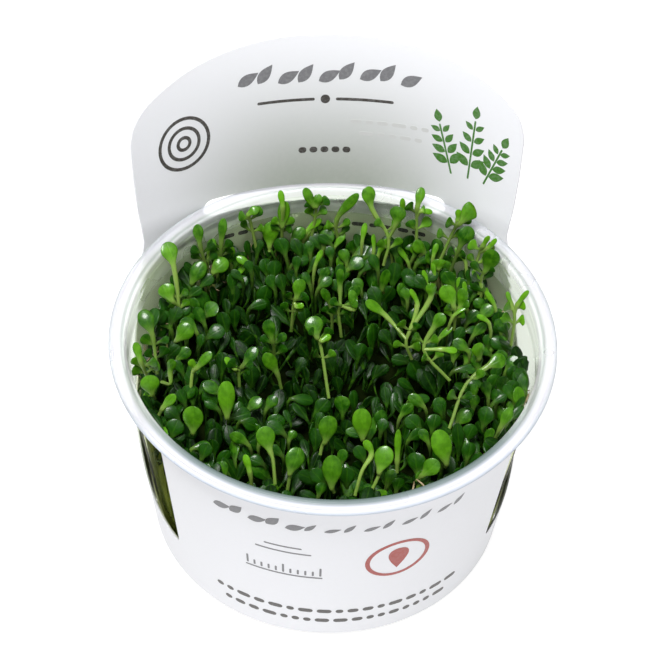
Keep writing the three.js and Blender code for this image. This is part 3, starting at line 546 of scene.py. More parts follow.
@dataclass(frozen=True)
class Matter(Finish):
    """Dull plant matter in two mingled colours, such as old roots, or the heart of the mat, which is painted
    near-black as its deep shade.
    """

    first: Colour = (0.27, 0.20, 0.10)
    second: Colour = (0.10, 0.08, 0.03)
    scale: float = 500.0
    roughness: float = 0.6
    depth: float = 0.3
    shine: float = 0.25

    def draw(self, recipe: Recipe) -> None:
        """Puts in the mingled colours and a rough relief."""
        cloud = recipe.noise(self.scale, 4.0, (1.0, 1.0, 0.35))
        recipe.set(
            Base_Color=recipe.mix(recipe.spread(cloud, 0.35, 0.65), self.first, self.second),
            Roughness=self.roughness,
            Specular_IOR_Level=self.shine,
        )
        recipe.bump(cloud, self.depth)


@dataclass(frozen=True)
class ClearGel(Finish):
    """Nutrient gel, clouded olive by the roots in it, with a wet skin."""

    tint: Colour = (0.20, 0.21, 0.08)
    index: float = 1.2

    def draw(self, recipe: Recipe) -> None:
        """Puts in the tint and a gently uneven skin."""
        wave = recipe.noise(60.0, 2.0)
        recipe.set(
            Base_Color=(*self.tint, 1.0),
            Transmission_Weight=1.0,
            IOR=self.index,
            Roughness=recipe.spread(wave, *MOST_NOISE, 0.03, 0.12),
        )
        recipe.bump(wave, 0.2)


@dataclass(frozen=True)
class StudioFloor(Finish):
    """Plain pale floor paper."""

    colour: Colour = (0.30, 0.30, 0.30)
    grain: Colour = (0.32, 0.32, 0.32)
    glow: float = 0.9

    def draw(self, recipe: Recipe) -> None:
        """Puts in a trace of paper grain."""
        grain = recipe.noise(120.0, 3.0)
        recipe.set(
            Base_Color=recipe.mix(recipe.spread(grain, *MOST_NOISE, 0.0, 0.5), self.colour, self.grain),
            Roughness=0.9,
            Emission_Color=(1.0, 1.0, 1.0, 1.0),
            Emission_Strength=self.glow,
        )


CLEAR_WALL = ClearPlastic("clear_wall", transmission=0.98, index=1.03)
# Where plants and gel lie behind it, the wall is tinted olive and dark: painted shade of the mat and gel seen
# through it.
WET_SHADED_WALL = ClearPlastic("wet_wall", tint=(0.66, 0.70, 0.46), index=1.004, roughness=0.03, flow_depth=0.0)
GEL_SHADED_WALL = ClearPlastic("gel_wall", tint=(0.12, 0.135, 0.045), index=1.004, roughness=0.03, flow_depth=0.0)
HAZY_LEDGE = ClearPlastic("hazy_ledge", tint=(0.72, 0.775, 0.69), transmission=0.8, index=1.05, roughness=0.3)
MILKY_RIM = MilkyPlastic("milky_rim")
WHITE_CARD = Card("coated_card")
DARK_INK = Ink("dark_ink")
GREY_INK = Ink("grey_ink", colour=(0.16, 0.16, 0.17))
FAINT_INK = Ink("faint_ink", colour=(0.56, 0.57, 0.56), pale=0.4)
GREEN_INK = Ink("green_ink", colour=(0.05, 0.17, 0.02))
RED_INK = Ink("red_ink", colour=(0.36, 0.035, 0.022))
LEAF = LeafGreen("wet_leaf")
OLD_ROOT = Matter("old_root", first=(0.42, 0.33, 0.20), second=(0.20, 0.14, 0.07))
OLIVE_STEM = Matter(
    "olive_stem", first=(0.27, 0.30, 0.095), second=(0.105, 0.125, 0.038), scale=240.0, shine=0.0
)
# A near-black body painted as the shade deep in the mat.
SHADOW_HEART = Matter(
    "dark_heart", first=(0.0025, 0.0060, 0.0010), second=(0.0060, 0.0095, 0.0020), scale=260.0, shine=0.0
)
GEL = ClearGel("wet_gel")
FLOOR = StudioFloor("floor_paper")


def mesh_from(name: str, points: list[Point], faces: list[Corners],
              edges: list[Corners] | None = None) -> Mesh:
    """Makes a mesh.

    Args:
        name: The mesh's name.
        points: Its points in millimetres.
        faces: Its faces, as the numbers of their points.
        edges: Its loose edges, where it has them.

    Returns:
        The mesh, in metres.
    """
    mesh = bpy.data.meshes.new(name)
    mesh.from_pydata([(x * MM, y * MM, z * MM) for x, y, z in points], edges or [], faces)
    mesh.update()
    return mesh


def object_from(name: str, mesh: Mesh, *finishes: Finish) -> bpy.types.Object:
    """Puts a mesh into the scene as an object at the origin with its finishes."""
    mesh.name = name
    if finishes:
        mesh.materials.clear()
    for finish in finishes:
        mesh.materials.append(finish.material())
    piece = bpy.data.objects.new(name, mesh)
    bpy.context.scene.collection.objects.link(piece)
    return piece


def smooth(mesh: Mesh, sharp_from: float = 35.0) -> None:
    """Shades a mesh smooth, but for edges that turn by more than some degrees."""
    mesh.shade_smooth()
    mesh.set_sharp_from_angle(angle=math.radians(sharp_from))


def settle(piece: bpy.types.Object, slot: str | None, *nodes: str) -> None:
    """Makes a finished piece ride on the object, and hides the parts that it replaces.

    Args:
        piece: The finished piece.
        slot: The record's material slot of its finish, or None for print; it is not used.
        nodes: The nodes that it replaces.
    """
    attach(piece, "root")
    if nodes:
        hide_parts(*nodes)
    LOG.info("%s: %d faces", piece.name, len(piece.data.polygons))


class ShapeTree(Sketch):
    """A tree of geometry nodes with named sizes, which turns a guide mesh into a plain mesh."""

    def __init__(self, name: str) -> None:
        """Starts a tree with a way in and a way out for the geometry."""
        super().__init__(bpy.data.node_groups.new(name, "GeometryNodeTree"))
        self.tree.interface.new_socket("Geometry", in_out="INPUT", socket_type="NodeSocketGeometry")
        self.tree.interface.new_socket("Geometry", in_out="OUTPUT", socket_type="NodeSocketGeometry")
        self.entry = self.tree.nodes.new("NodeGroupInput")
        self.keys: dict[str, str] = {}

    @property
    def guide(self) -> Socket:
        """The socket of the guide mesh."""
        return self.entry.outputs["Geometry"]

    def size(self, name: str, kind: str, default: object = None) -> Socket:
        """Adds a named input.

        Args:
            name: The input's name.
            kind: Float, Int, Material or Collection.
            default: Its usual value.

        Returns:
            Its socket inside the tree.
        """
        socket = self.tree.interface.new_socket(name, in_out="INPUT", socket_type="NodeSocket" + kind)
        if default is not None:
            socket.default_value = default
        self.keys[name] = socket.identifier
        return self.entry.outputs[name]

    def named(self, name: str, kind: str = "FLOAT") -> Socket:
        """Returns an attribute that the geometry carries."""
        node = self.add("GeometryNodeInputNamedAttribute", {"Name": name}, data_type=kind)
        return node.outputs["Attribute"]

    def store(self, geometry: object, name: str, value: object, domain: str = "POINT") -> Socket:
        """Returns the geometry with a number stored on it."""
        inputs = {"Geometry": geometry, "Name": name, "Value": value}
        node = self.add("GeometryNodeStoreNamedAttribute", inputs, data_type="FLOAT", domain=domain)
        return node.outputs["Geometry"]

    def random(self, low: object, high: object, number: int, kind: str = "FLOAT") -> Socket:
        """Returns a random value for each point, drawn with the seed and a number of its own."""
        seed = self.math("ADD", self.entry.outputs["Seed"], float(number))
        node = self.add("FunctionNodeRandomValue", {"Seed": seed}, data_type=kind)
        ends = [socket for socket in node.inputs if socket.name in ("Min", "Max") and socket.enabled]
        outputs = [socket for socket in node.outputs if socket.enabled]
        for socket, value in zip(ends, (low, high)):
            if isinstance(value, Socket):
                self.tree.links.new(value, socket)
            else:
                socket.default_value = value
        return outputs[0]

    def within_wall(self, geometry: object) -> Socket:
        """Returns the geometry with whatever stood outside a tapered wall moved in to it."""
        reach = self.size("Wall Reach", "Float", 1.0)
        slope = self.size("Wall Slope", "Float", 0.0)
        x, y, z = self.parts(self.add("GeometryNodeInputPosition").outputs[0])
        radius = self.length(self.joined(X=x, Y=y))
        limit = self.math("ADD", reach, self.times(slope, z))
        share = self.math("MINIMUM", 1.0, self.math("DIVIDE", limit, self.math("MAXIMUM", radius, TINY)))
        moved = self.joined(X=self.times(x, share), Y=self.times(y, share), Z=z)
        return self.add("GeometryNodeSetPosition", {"Geometry": geometry, "Position": moved}).outputs[0]

    def finish(self, geometry: object) -> None:
        """Ends the tree: instances made real, kept within the wall, and the material set."""
        material = self.size("Material", "Material")
        real = self.add("GeometryNodeRealizeInstances", {"Geometry": geometry}).outputs[0]
        kept = self.within_wall(real)
        dressed = self.add("GeometryNodeSetMaterial", {"Geometry": kept, "Material": material})
        self.tree.links.new(dressed.outputs[0], self.tree.nodes.new("NodeGroupOutput").inputs[0])

    def run(self, name: str, guide: Mesh, **sizes: object) -> Mesh:
        """Runs the tree on a guide mesh.

        Args:
            name: The name of the mesh that is made.
            guide: The guide mesh, which is used up.
            sizes: The named inputs, with _ for each space in a name.

        Returns:
            The plain mesh.
        """
        holder = bpy.data.objects.new(name + "_guide", guide)
        bpy.context.scene.collection.objects.link(holder)
        modifier = holder.modifiers.new("shape", "NODES")
        modifier.node_group = self.tree
        for key, value in sizes.items():
            modifier[self.keys[key.replace("_", " ")]] = value
        holder.update_tag()
        graph = bpy.context.evaluated_depsgraph_get()
        settled = holder.evaluated_get(graph)
        made = bpy.data.meshes.new_from_object(settled, preserve_all_data_layers=True, depsgraph=graph)
        made.name = name
        bpy.data.objects.remove(holder)
        bpy.data.meshes.remove(guide)
        return made


class TurnedForm(ShapeTree):
    """Spins an upright half profile round the Z axis."""

    def __init__(self) -> None:
        """Draws up the tree: the profile is swept round a circle and welded on the axis."""
        super().__init__("turned_form")
        facets = self.size("Facets", "Int", 192)
        profile = self.add("GeometryNodeMeshToCurve", {"Mesh": self.guide})
        circle = self.add("GeometryNodeCurvePrimitiveCircle", {"Resolution": facets, "Radius": 1.0})
        inputs = {"Curve": circle.outputs["Curve"], "Profile Curve": profile.outputs["Curve"]}
        swept = self.add("GeometryNodeCurveToMesh", inputs)
        inputs = {"Geometry": swept.outputs["Mesh"], "Distance": TINY}
        welded = self.add("GeometryNodeMergeByDistance", inputs)
        self.finish(welded.outputs["Geometry"])

    def turn(self, name: str, profile: Outline, finish: Finish, facets: int = 192) -> Mesh:
        """Makes a turned mesh.

        Args:
            name: The mesh's name.
            profile: (radius, height) from the foot of the axis round the outside and back to the axis.
            finish: Its first finish.
            facets: How many facets it has round the axis.

        Returns:
            The closed mesh.
        """
        edges = [(i, i + 1) for i in range(len(profile) - 1)]
        guide = mesh_from(name + "_profile", [(r - 1 / MM, -z, 0.0) for r, z in reversed(profile)], [], edges)
        return self.run(name, guide, Facets=facets, Material=finish.material())


def rounded(corners: list[tuple[float, float, float]], steps: int = 4) -> Outline:
    """Rounds the corners of an open line, with a short edge beside each round that keeps a long side flat.

    Args:
        corners: (x, y, radius) of each corner, with radius 0 where it stays sharp.
        steps: How many short edges make a round.

    Returns:
        The rounded line.
    """
    most_of_side = 0.45
    long_side = 8.0
    past_round = 1.8
    line: Outline = []
    for i, (x, y, radius) in enumerate(corners):
        here = Vector((x, y))
        if radius == 0 or i in (0, len(corners) - 1):
            line.append((x, y))
            continue
        back = Vector(corners[i - 1][:2]) - here
        ahead = Vector(corners[i + 1][:2]) - here
        cut = min(radius, back.length * most_of_side, ahead.length * most_of_side)
        start = here + back.normalized() * cut
        end = here + ahead.normalized() * cut
        if back.length > long_side * cut:
            line.append(tuple(here + back.normalized() * cut * past_round))
        for t in (k / steps for k in range(steps + 1)):
            point = start * (1 - t) ** 2 + here * (2 * t * (1 - t)) + end * t**2
            line.append((point.x, point.y))
        if ahead.length > long_side * cut:
            line.append(tuple(here + ahead.normalized() * cut * past_round))
    return line


class CupZone(Enum):
    """The stretches of the cup that differ in finish, in the order of its material slots."""

    WALL = CLEAR_WALL
    RIM = MILKY_RIM
    LEDGE = HAZY_LEDGE
    WET = WET_SHADED_WALL
    GEL = GEL_SHADED_WALL


@dataclass
class ClearCup:
    """The clear cup: a tapered wall on a rounded base, a ledge inside, and a flat beaded rim."""

    height: float = 57.5
    rim_radius: float = 50.0
    rim_thickness: float = 1.2
    rim_inner_radius: float = 46.0
    low_radius: float = 40.45
    cone_low: float = 1.5
    cone_slope: float = 0.1131
    wall: float = 0.6
    ledge: float = 53.0
    haze_from: float = 51.0
    wet_top: float = 47.0
    wet_fall: float = 7.0
    wet_front: float = 12.0
    gel_top: float = 12.6
    gel_low: float = 0.3
    base_radius: float = 38.2
    base_thickness: float = 1.3
    bead: float = 0.28

    def wall_radius(self, z: float) -> float:
        """Returns the outer radius of the wall at a height."""
        return self.low_radius + self.cone_slope * (z - self.cone_low)

    def inside(self, z: float) -> float:
        """Returns the inner radius of the wall at a height."""
        return self.wall_radius(z) - self.wall

    def limits(self) -> dict[str, float]:
        """Returns the tree inputs, in metres, that keep plants just inside the wall."""
        return {"Wall_Reach": (self.inside(0.0) - 0.12) * MM, "Wall_Slope": self.cone_slope}

    def profile(self) -> Outline:
        """Returns the half profile, from the middle of the base round the outside to the floor's middle."""
        under = self.height - self.rim_thickness
        top = self.height
        low = top - self.bead
        return rounded([
            (0, 0.25, 0),
            (self.base_radius - 7, 0.25, 1.0),
            (self.base_radius - 5.5, 0, 1.0),
            (self.base_radius + 1.2, 0, 1.4),
            (self.wall_radius(2.6), 2.6, 1.4),
            (self.wall_radius(self.gel_top), self.gel_top, 0),
            (self.wall_radius(self.wet_top - self.wet_fall), self.wet_top - self.wet_fall, 0),
            (self.wall_radius(self.wet_top), self.wet_top, 0),
            (self.wall_radius(49.6), 49.6, 0.5),
            (self.wall_radius(50.1) + 0.28, 50.1, 0.4),
            (self.wall_radius(50.6), 50.6, 0.5),
            (self.wall_radius(under), under, 0.5),
            (self.rim_radius - 0.3, under, 0.2),
            (self.rim_radius, under + 0.35, 0.3),
            (self.rim_radius, top - 0.35, 0.3),
            (self.rim_radius - 0.35, top, 0.3),
            (self.rim_radius - 0.9, top, 0.3),
            (self.rim_radius - 1.2, low, 0.3),
            (self.rim_inner_radius + 1.35, low, 0.3),
            (self.rim_inner_radius + 1.05, top, 0.3),
            (self.rim_inner_radius + 0.3, top, 0.25),
            (self.rim_inner_radius, top - 0.4, 0.25),
            (self.rim_inner_radius - 0.05, 55.4, 0.3),
            (self.rim_inner_radius - 0.3, 55.0, 0.3),
            (self.rim_inner_radius - 0.1, 54.6, 0.3),
            (self.rim_inner_radius - 0.1, self.ledge + 0.3, 0.25),
            (self.inside(self.ledge) - 0.1, self.ledge - 0.5, 0.25),
            (self.inside(self.haze_from) - 0.1, self.haze_from, 0),
            (self.inside(self.wet_top) - 0.09, self.wet_top, 0),
            (self.inside(self.wet_top - self.wet_fall), self.wet_top - self.wet_fall, 0),
            (self.inside(self.gel_top), self.gel_top, 0),
            (self.inside(3.6), 3.6, 1.6),
            (self.base_radius - 0.6, self.base_thickness, 1.6),
            (self.base_radius - 6, self.base_thickness, 1.0),
            (self.base_radius - 7.5, self.base_thickness + 0.2, 1.0),
            (0, self.base_thickness + 0.2, 0),
        ])

    def zone(self, radius: float, z: float, behind: bool) -> CupZone:
        """Finds the zone of a place on the cup.

        Args:
            radius: The place's distance from the axis.
            z: Its height.
            behind: If it lies behind the front stretch, where plants reach higher.

        Returns:
            The zone.
        """
        if z > self.height - self.rim_thickness - 0.05 and radius > self.rim_inner_radius - 0.2:
            return CupZone.RIM
        if radius < self.wall_radius(z) - self.wall * 0.6 and z > self.haze_from:
            return CupZone.LEDGE
        if self.gel_low < z < self.gel_top:
            return CupZone.GEL
        return CupZone.WET if z < self.wet_top - self.wet_fall * behind else CupZone.WALL

    def build(self, former: TurnedForm) -> None:
        """Makes the cup, milky at its rim, hazy at its ledge, and wet inside where plants and gel lie, with
        painted shade tinting the wall there.
        """
        zones = list(CupZone)
        mesh = former.turn("clear_cup", self.profile(), CLEAR_WALL)
        piece = object_from("clear_cup", mesh, *(zone.value for zone in zones))
        for face in mesh.polygons:
            x, y, z = face.center
            zone = self.zone(math.hypot(x, y) / MM, z / MM, y > -self.wet_front * MM)
            face.material_index = zones.index(zone)
        smooth(mesh, 50.0)
        settle(piece, "clear_plastic", "cup")


class Face(Enum):
    """The two faces of the card."""

    OUTER = "outer"
    INNER = "inner"


@dataclass
class CardSleeve:
    """The die-cut card: a ring round the cup, a front panel and a tall curved header with a slot."""

    cup: ClearCup
    thickness: float = 0.45
    gap: float = 0.5
    bottom: float = 1.3
    ring_top: float = 14.7
    panel_top: float = 55.6
    panel_half_angle: float = 55.0
    panel_rounds: Flat = (1.2, 1.5)
    fold: float = 57.5
    lean: float = 0.2423
    curve_low: float = 72.5
    curve_high: float = 86.6
    curve_rise: float = 46.0
    wrap_from: float = 60.0
    wrap_run: float = 28.0
    slot_half_length: float = 29.6
    slot_bottom: float = 53.3
    slot_top: float = 58.2
    net_step: float = 2.2
    net_clearance: float = 0.4
    seam_steps: int = 12
    foot_steps: int = 110
    print_height: float = 0.035
    sides: list[Flat] = field(default_factory=lambda: [
        (54, 45.6), (57, 45.9), (62, 46.7), (70, 47.4), (77, 47.7),
    ])
    side_heights: tuple[float, ...] = (57, 60, 62, 66, 70, 74)
    arch: Outline = field(default_factory=lambda: [
        (47.7, 77), (47.7, 79.5), (46.6, 83.1), (43.8, 86.3), (39.2, 89), (32, 92.1), (22.5, 94.5),
        (12, 95.9), (0, 96.3),
    ])
    window: Outline = field(default_factory=lambda: [
        (88, 15.3), (79, 16.9), (69, 21), (61, 27), (55.5, 32.5), (51, 38.8), (47.7, 46), (45.6, 54),
    ])

    def radius(self, z: float) -> float:
        """Returns the radius of the card's outer face where it lies round the cup."""
        return self.cup.wall_radius(z) + self.gap + self.thickness

    @property
    def half_round(self) -> float:
        """The way round from the middle of the back to the middle of the front."""
        return math.pi * self.radius(self.ring_top)

    def place(self, u: float, z: float, depth: float) -> Point:
        """Finds a place on the bent card.

        Args:
            u: The way round from the middle of the back.
            z: The height.
            depth: The way in from the outer face.

        Returns:
            The place.
        """
        angle = u / self.radius(self.ring_top)
        ring_radius = self.radius(z) - depth
        ring = Vector((ring_radius * math.sin(angle), ring_radius * math.cos(angle), z))
        share = ease((z - self.ring_top) / (self.fold - self.ring_top))
        above = max(z - self.fold, 0.0)
        flatter = self.curve_low + (self.curve_high - self.curve_low) * above / self.curve_rise
        low = self.radius(min(z, self.fold))
        bend = 1 / ((1 - share) / low + share / flatter)
        back = low + self.lean * above - bend
        header = Vector(((bend - depth) * math.sin(u / bend), back + (bend - depth) * math.cos(u / bend), z))
        wrap = 1.0 if z <= self.ring_top else ease((abs(u) - self.wrap_from) / self.wrap_run)
        return tuple(header.lerp(ring, wrap))

    def half_outline(self) -> Outline:
        """Returns the right half of the unrolled outline, from the front's foot over to the back's top."""
        half = self.half_round
        panel_edge = (180 - self.panel_half_angle) / 180 * half
        rise = self.panel_top - self.bottom
        seam = [(half, self.bottom + rise * i / self.seam_steps) for i in range(self.seam_steps + 1)]
        upper, lower = self.panel_rounds
        corner = rounded([
            (half, self.panel_top, 0),
            (panel_edge, self.panel_top, upper),
            (panel_edge, self.ring_top, lower),
            (*self.window[0], 0),
        ])
        side = [(between(self.sides, z), z) for z in self.side_heights]
        return seam + corner[1:-1] + smooth_line(self.window, 3) + side + smooth_line(self.arch, 4)

    def slot_outline(self) -> Outline:
        """Returns the slot's outline, two straight sides between round ends."""
        radius = (self.slot_top - self.slot_bottom) / 2
        middle = (self.slot_top + self.slot_bottom) / 2
        reach = self.slot_half_length - radius
        steps = 20
        line: Outline = []
        for side in (1, -1):
            line += [(u, middle + z) for u, z in round_end(reach, radius, side, 12)]
            line += [(side * (reach - 2 * reach * i / steps), middle + side * radius)
                     for i in range(1, steps)]
        return line

    def outlines(self) -> list[Outline]:
        """Returns the card's own outline and the slot's."""
        right = self.half_outline()
        left = [(-u, z) for u, z in reversed(right[:-1])]
        half, steps = self.half_round, self.foot_steps
        foot = [(-half + 2 * half * i / steps, self.bottom) for i in range(1, steps)]
        return [right + left + foot, self.slot_outline()]

    def sheet(self, name: str, outlines: list[Outline], step: float, top: float, under: float) -> Mesh:
        """Makes a thin closed body that follows the card.

        Args:
            name: The mesh's name.
            outlines: Flat outlines on the unrolled card; one inside another is a hole.
            step: The spacing of the net inside them.
            top: The depth of its outward face.
            under: The depth of its inward face.

        Returns:
            The mesh, with the unrolled places as its UV map and a mark on its inward face.
        """
        corners: list[Flat] = []
        edges: list[tuple[int, int]] = []
        for outline in (divided(outline, step) for outline in outlines):
            first = len(corners)
            corners += outline
            edges += [(first + i, first + (i + 1) % len(outline)) for i in range(len(outline))]
        rim = np.array(corners)
        ends = np.array([[corners[a], corners[b]] for a, b in edges])
        grid = self.net_points(rim, ends, step)
        flat, _, triangles, *_ = delaunay_2d_cdt([Vector(p) for p in corners + grid], edges, [], 0, TINY)
        flat = [(p.x, p.y) for p in flat]
        middles = np.array([[sum(flat[i][k] for i in t) / 3 for k in (0, 1)] for t in triangles])
        kept = [t for t, there in zip(triangles, self.within(middles, ends)) if there]
        return self.close(name, flat, kept, top, under)

    @staticmethod
    def within(points: np.ndarray, ends: np.ndarray) -> np.ndarray:
        """Returns for each point if it lies inside the outlines whose edges are given."""
        x, y = points[:, 0, None], points[:, 1, None]
        x0, y0, x1, y1 = ends[:, 0, 0], ends[:, 0, 1], ends[:, 1, 0], ends[:, 1, 1]
        crosses = (y0 > y) != (y1 > y)
        run = np.where(y1 == y0, 1.0, y1 - y0)
        left_of = x < (x1 - x0) * (y - y0) / run + x0
        return (crosses & left_of).sum(axis=1) % 2 == 1

    def net_points(self, rim: np.ndarray, ends: np.ndarray, step: float) -> list[Flat]:
        """Returns the points of a staggered net that lie inside the outlines, clear of their edges."""
        low, high = rim.min(axis=0), rim.max(axis=0)
        rows = []
        for j, z in enumerate(np.arange(low[1] + step / 2, high[1], step)):
            shift = step / 2 * (j % 2)
            rows += [(u + shift, z) for u in np.arange(low[0] + step / 2, high[0], step)]
        if not rows:
            return []
        net = np.array(rows)
        start, run = ends[:, 0], ends[:, 1] - ends[:, 0]
        share = ((net[:, None] - start) * run).sum(-1) / np.maximum((run * run).sum(-1), 1e-12)
        nearest = start + np.clip(share, 0, 1)[..., None] * run
        away = np.linalg.norm(net[:, None] - nearest, axis=-1).min(axis=1)
        clear = away > step * self.net_clearance
        return [tuple(p) for p in net[clear & self.within(net, ends)]]

    def close(self, name: str, flat: Outline, triangles: list[Corners], top: float, under: float) -> Mesh:
        """Bends a flat net and closes it between two depths.

        Args:
            name: The mesh's name.
            flat: The net's points on the unrolled card.
            triangles: Its triangles, as the points' numbers.
            top: The depth of the outward face.
            under: The depth of the inward face.

        Returns:
            The closed mesh, joined to itself where the two ends meet at the front.
        """
        outer = [self.place(u, z, top) for u, z in flat]
        inner = [self.place(u, z, under) for u, z in flat]
        first: dict[tuple[int, ...], int] = {}
        joined = [first.setdefault(tuple(round(c * 1000) for c in p), i) for i, p in enumerate(outer)]
        count = len(flat)
        sides: dict[tuple[int, int], tuple[int, int]] = {}
        faces = []
        corner_places = []
        for a, b, c in triangles:
            faces += [(joined[a], joined[c], joined[b]), tuple(joined[i] + count for i in (a, b, c))]
            corner_places += [flat[a], flat[c], flat[b], flat[a], flat[b], flat[c]]
            for p, q in ((a, b), (b, c), (c, a)):
                sides[joined[p], joined[q]] = (p, q)
        for (p, q), (a, b) in sides.items():
            if (q, p) not in sides:
                faces.append((p, q, q + count, p + count))
                corner_places += [flat[a], flat[b], flat[b], flat[a]]
        mesh = mesh_from(name, outer + inner, faces)
        layer = mesh.uv_layers.new(name="unrolled")
        layer.data.foreach_set("uv", [c / MAP_UNIT for place in corner_places for c in place])
        mark = mesh.attributes.new("inner_face", "FLOAT", "POINT")
        mark.data.foreach_set("value", [0.0] * count + [1.0] * count)
        return mesh

    def build(self) -> None:
        """Makes the card itself."""
        mesh = self.sheet("card", self.outlines(), self.net_step, 0.0, self.thickness)
        mesh.validate()
        drop_loose(mesh)
        smooth(mesh, 40.0)
        settle(object_from("card", mesh, WHITE_CARD), "white_card", "card_sleeve")

    def print_body(
        self, name: str, outlines: list[Outline], face: Face, finish: Finish, step: float = 1.4
    ) -> None:
        """Lays a thin printed shape on the card.

        Args:
            name: The piece's name.
            outlines: The shape's flat outlines on the unrolled card.
            face: The face that it lies on.
            finish: Its ink.
            step: The spacing of the net inside it.
        """
        proud = self.print_height
        top, under = (-proud, 0.0) if face is Face.OUTER else (self.thickness, self.thickness + proud)
        mesh = self.sheet(name, outlines, step, top, under)
        drop_loose(mesh)
        settle(object_from(name, mesh, finish), None)


def drop_loose(mesh: Mesh) -> None:
    """Takes the points that no face uses out of a mesh."""
    body = bmesh.new()
    body.from_mesh(mesh)
    bmesh.ops.delete(body, geom=[v for v in body.verts if not v.link_faces], context="VERTS")
    body.to_mesh(mesh)
    body.free()


def disc(u: float, z: float, radius: float, count: int = 28) -> Outline:
    """Returns a round outline."""
    return [(u + radius * c, z + radius * s) for c, s in directions(count)]


def lozenge(u: float, z: float, length: float, width: float, turn: float, count: int = 9) -> Outline:
    """Returns a leaf-shaped outline with its stalk end at (u, z), turned by some degrees from upright."""
    belly = 0.8
    shares = [i / count for i in range(count)]
    right = [(width / 2 * math.sin(math.pi * share**belly), length * share) for share in shares]
    left = [(-a, b) for a, b in right]
    c, s = slant(turn)
    return [(u + a * c + b * s, z - a * s + b * c) for a, b in right + [(0.0, length)] + left[:0:-1]]


def bar(u: float, z: float, length: float, height: float, turn: float = 0.0) -> Outline:
    """Returns a bar with round ends, centred on (u, z)."""
    radius = height / 2
    reach = length / 2 - radius
    line = round_end(reach, radius, 1, 6) + round_end(reach, radius, -1, 6)
    c, s = slant(turn)
    return [(u + a * c - b * s, z + a * s + b * c) for a, b in line]


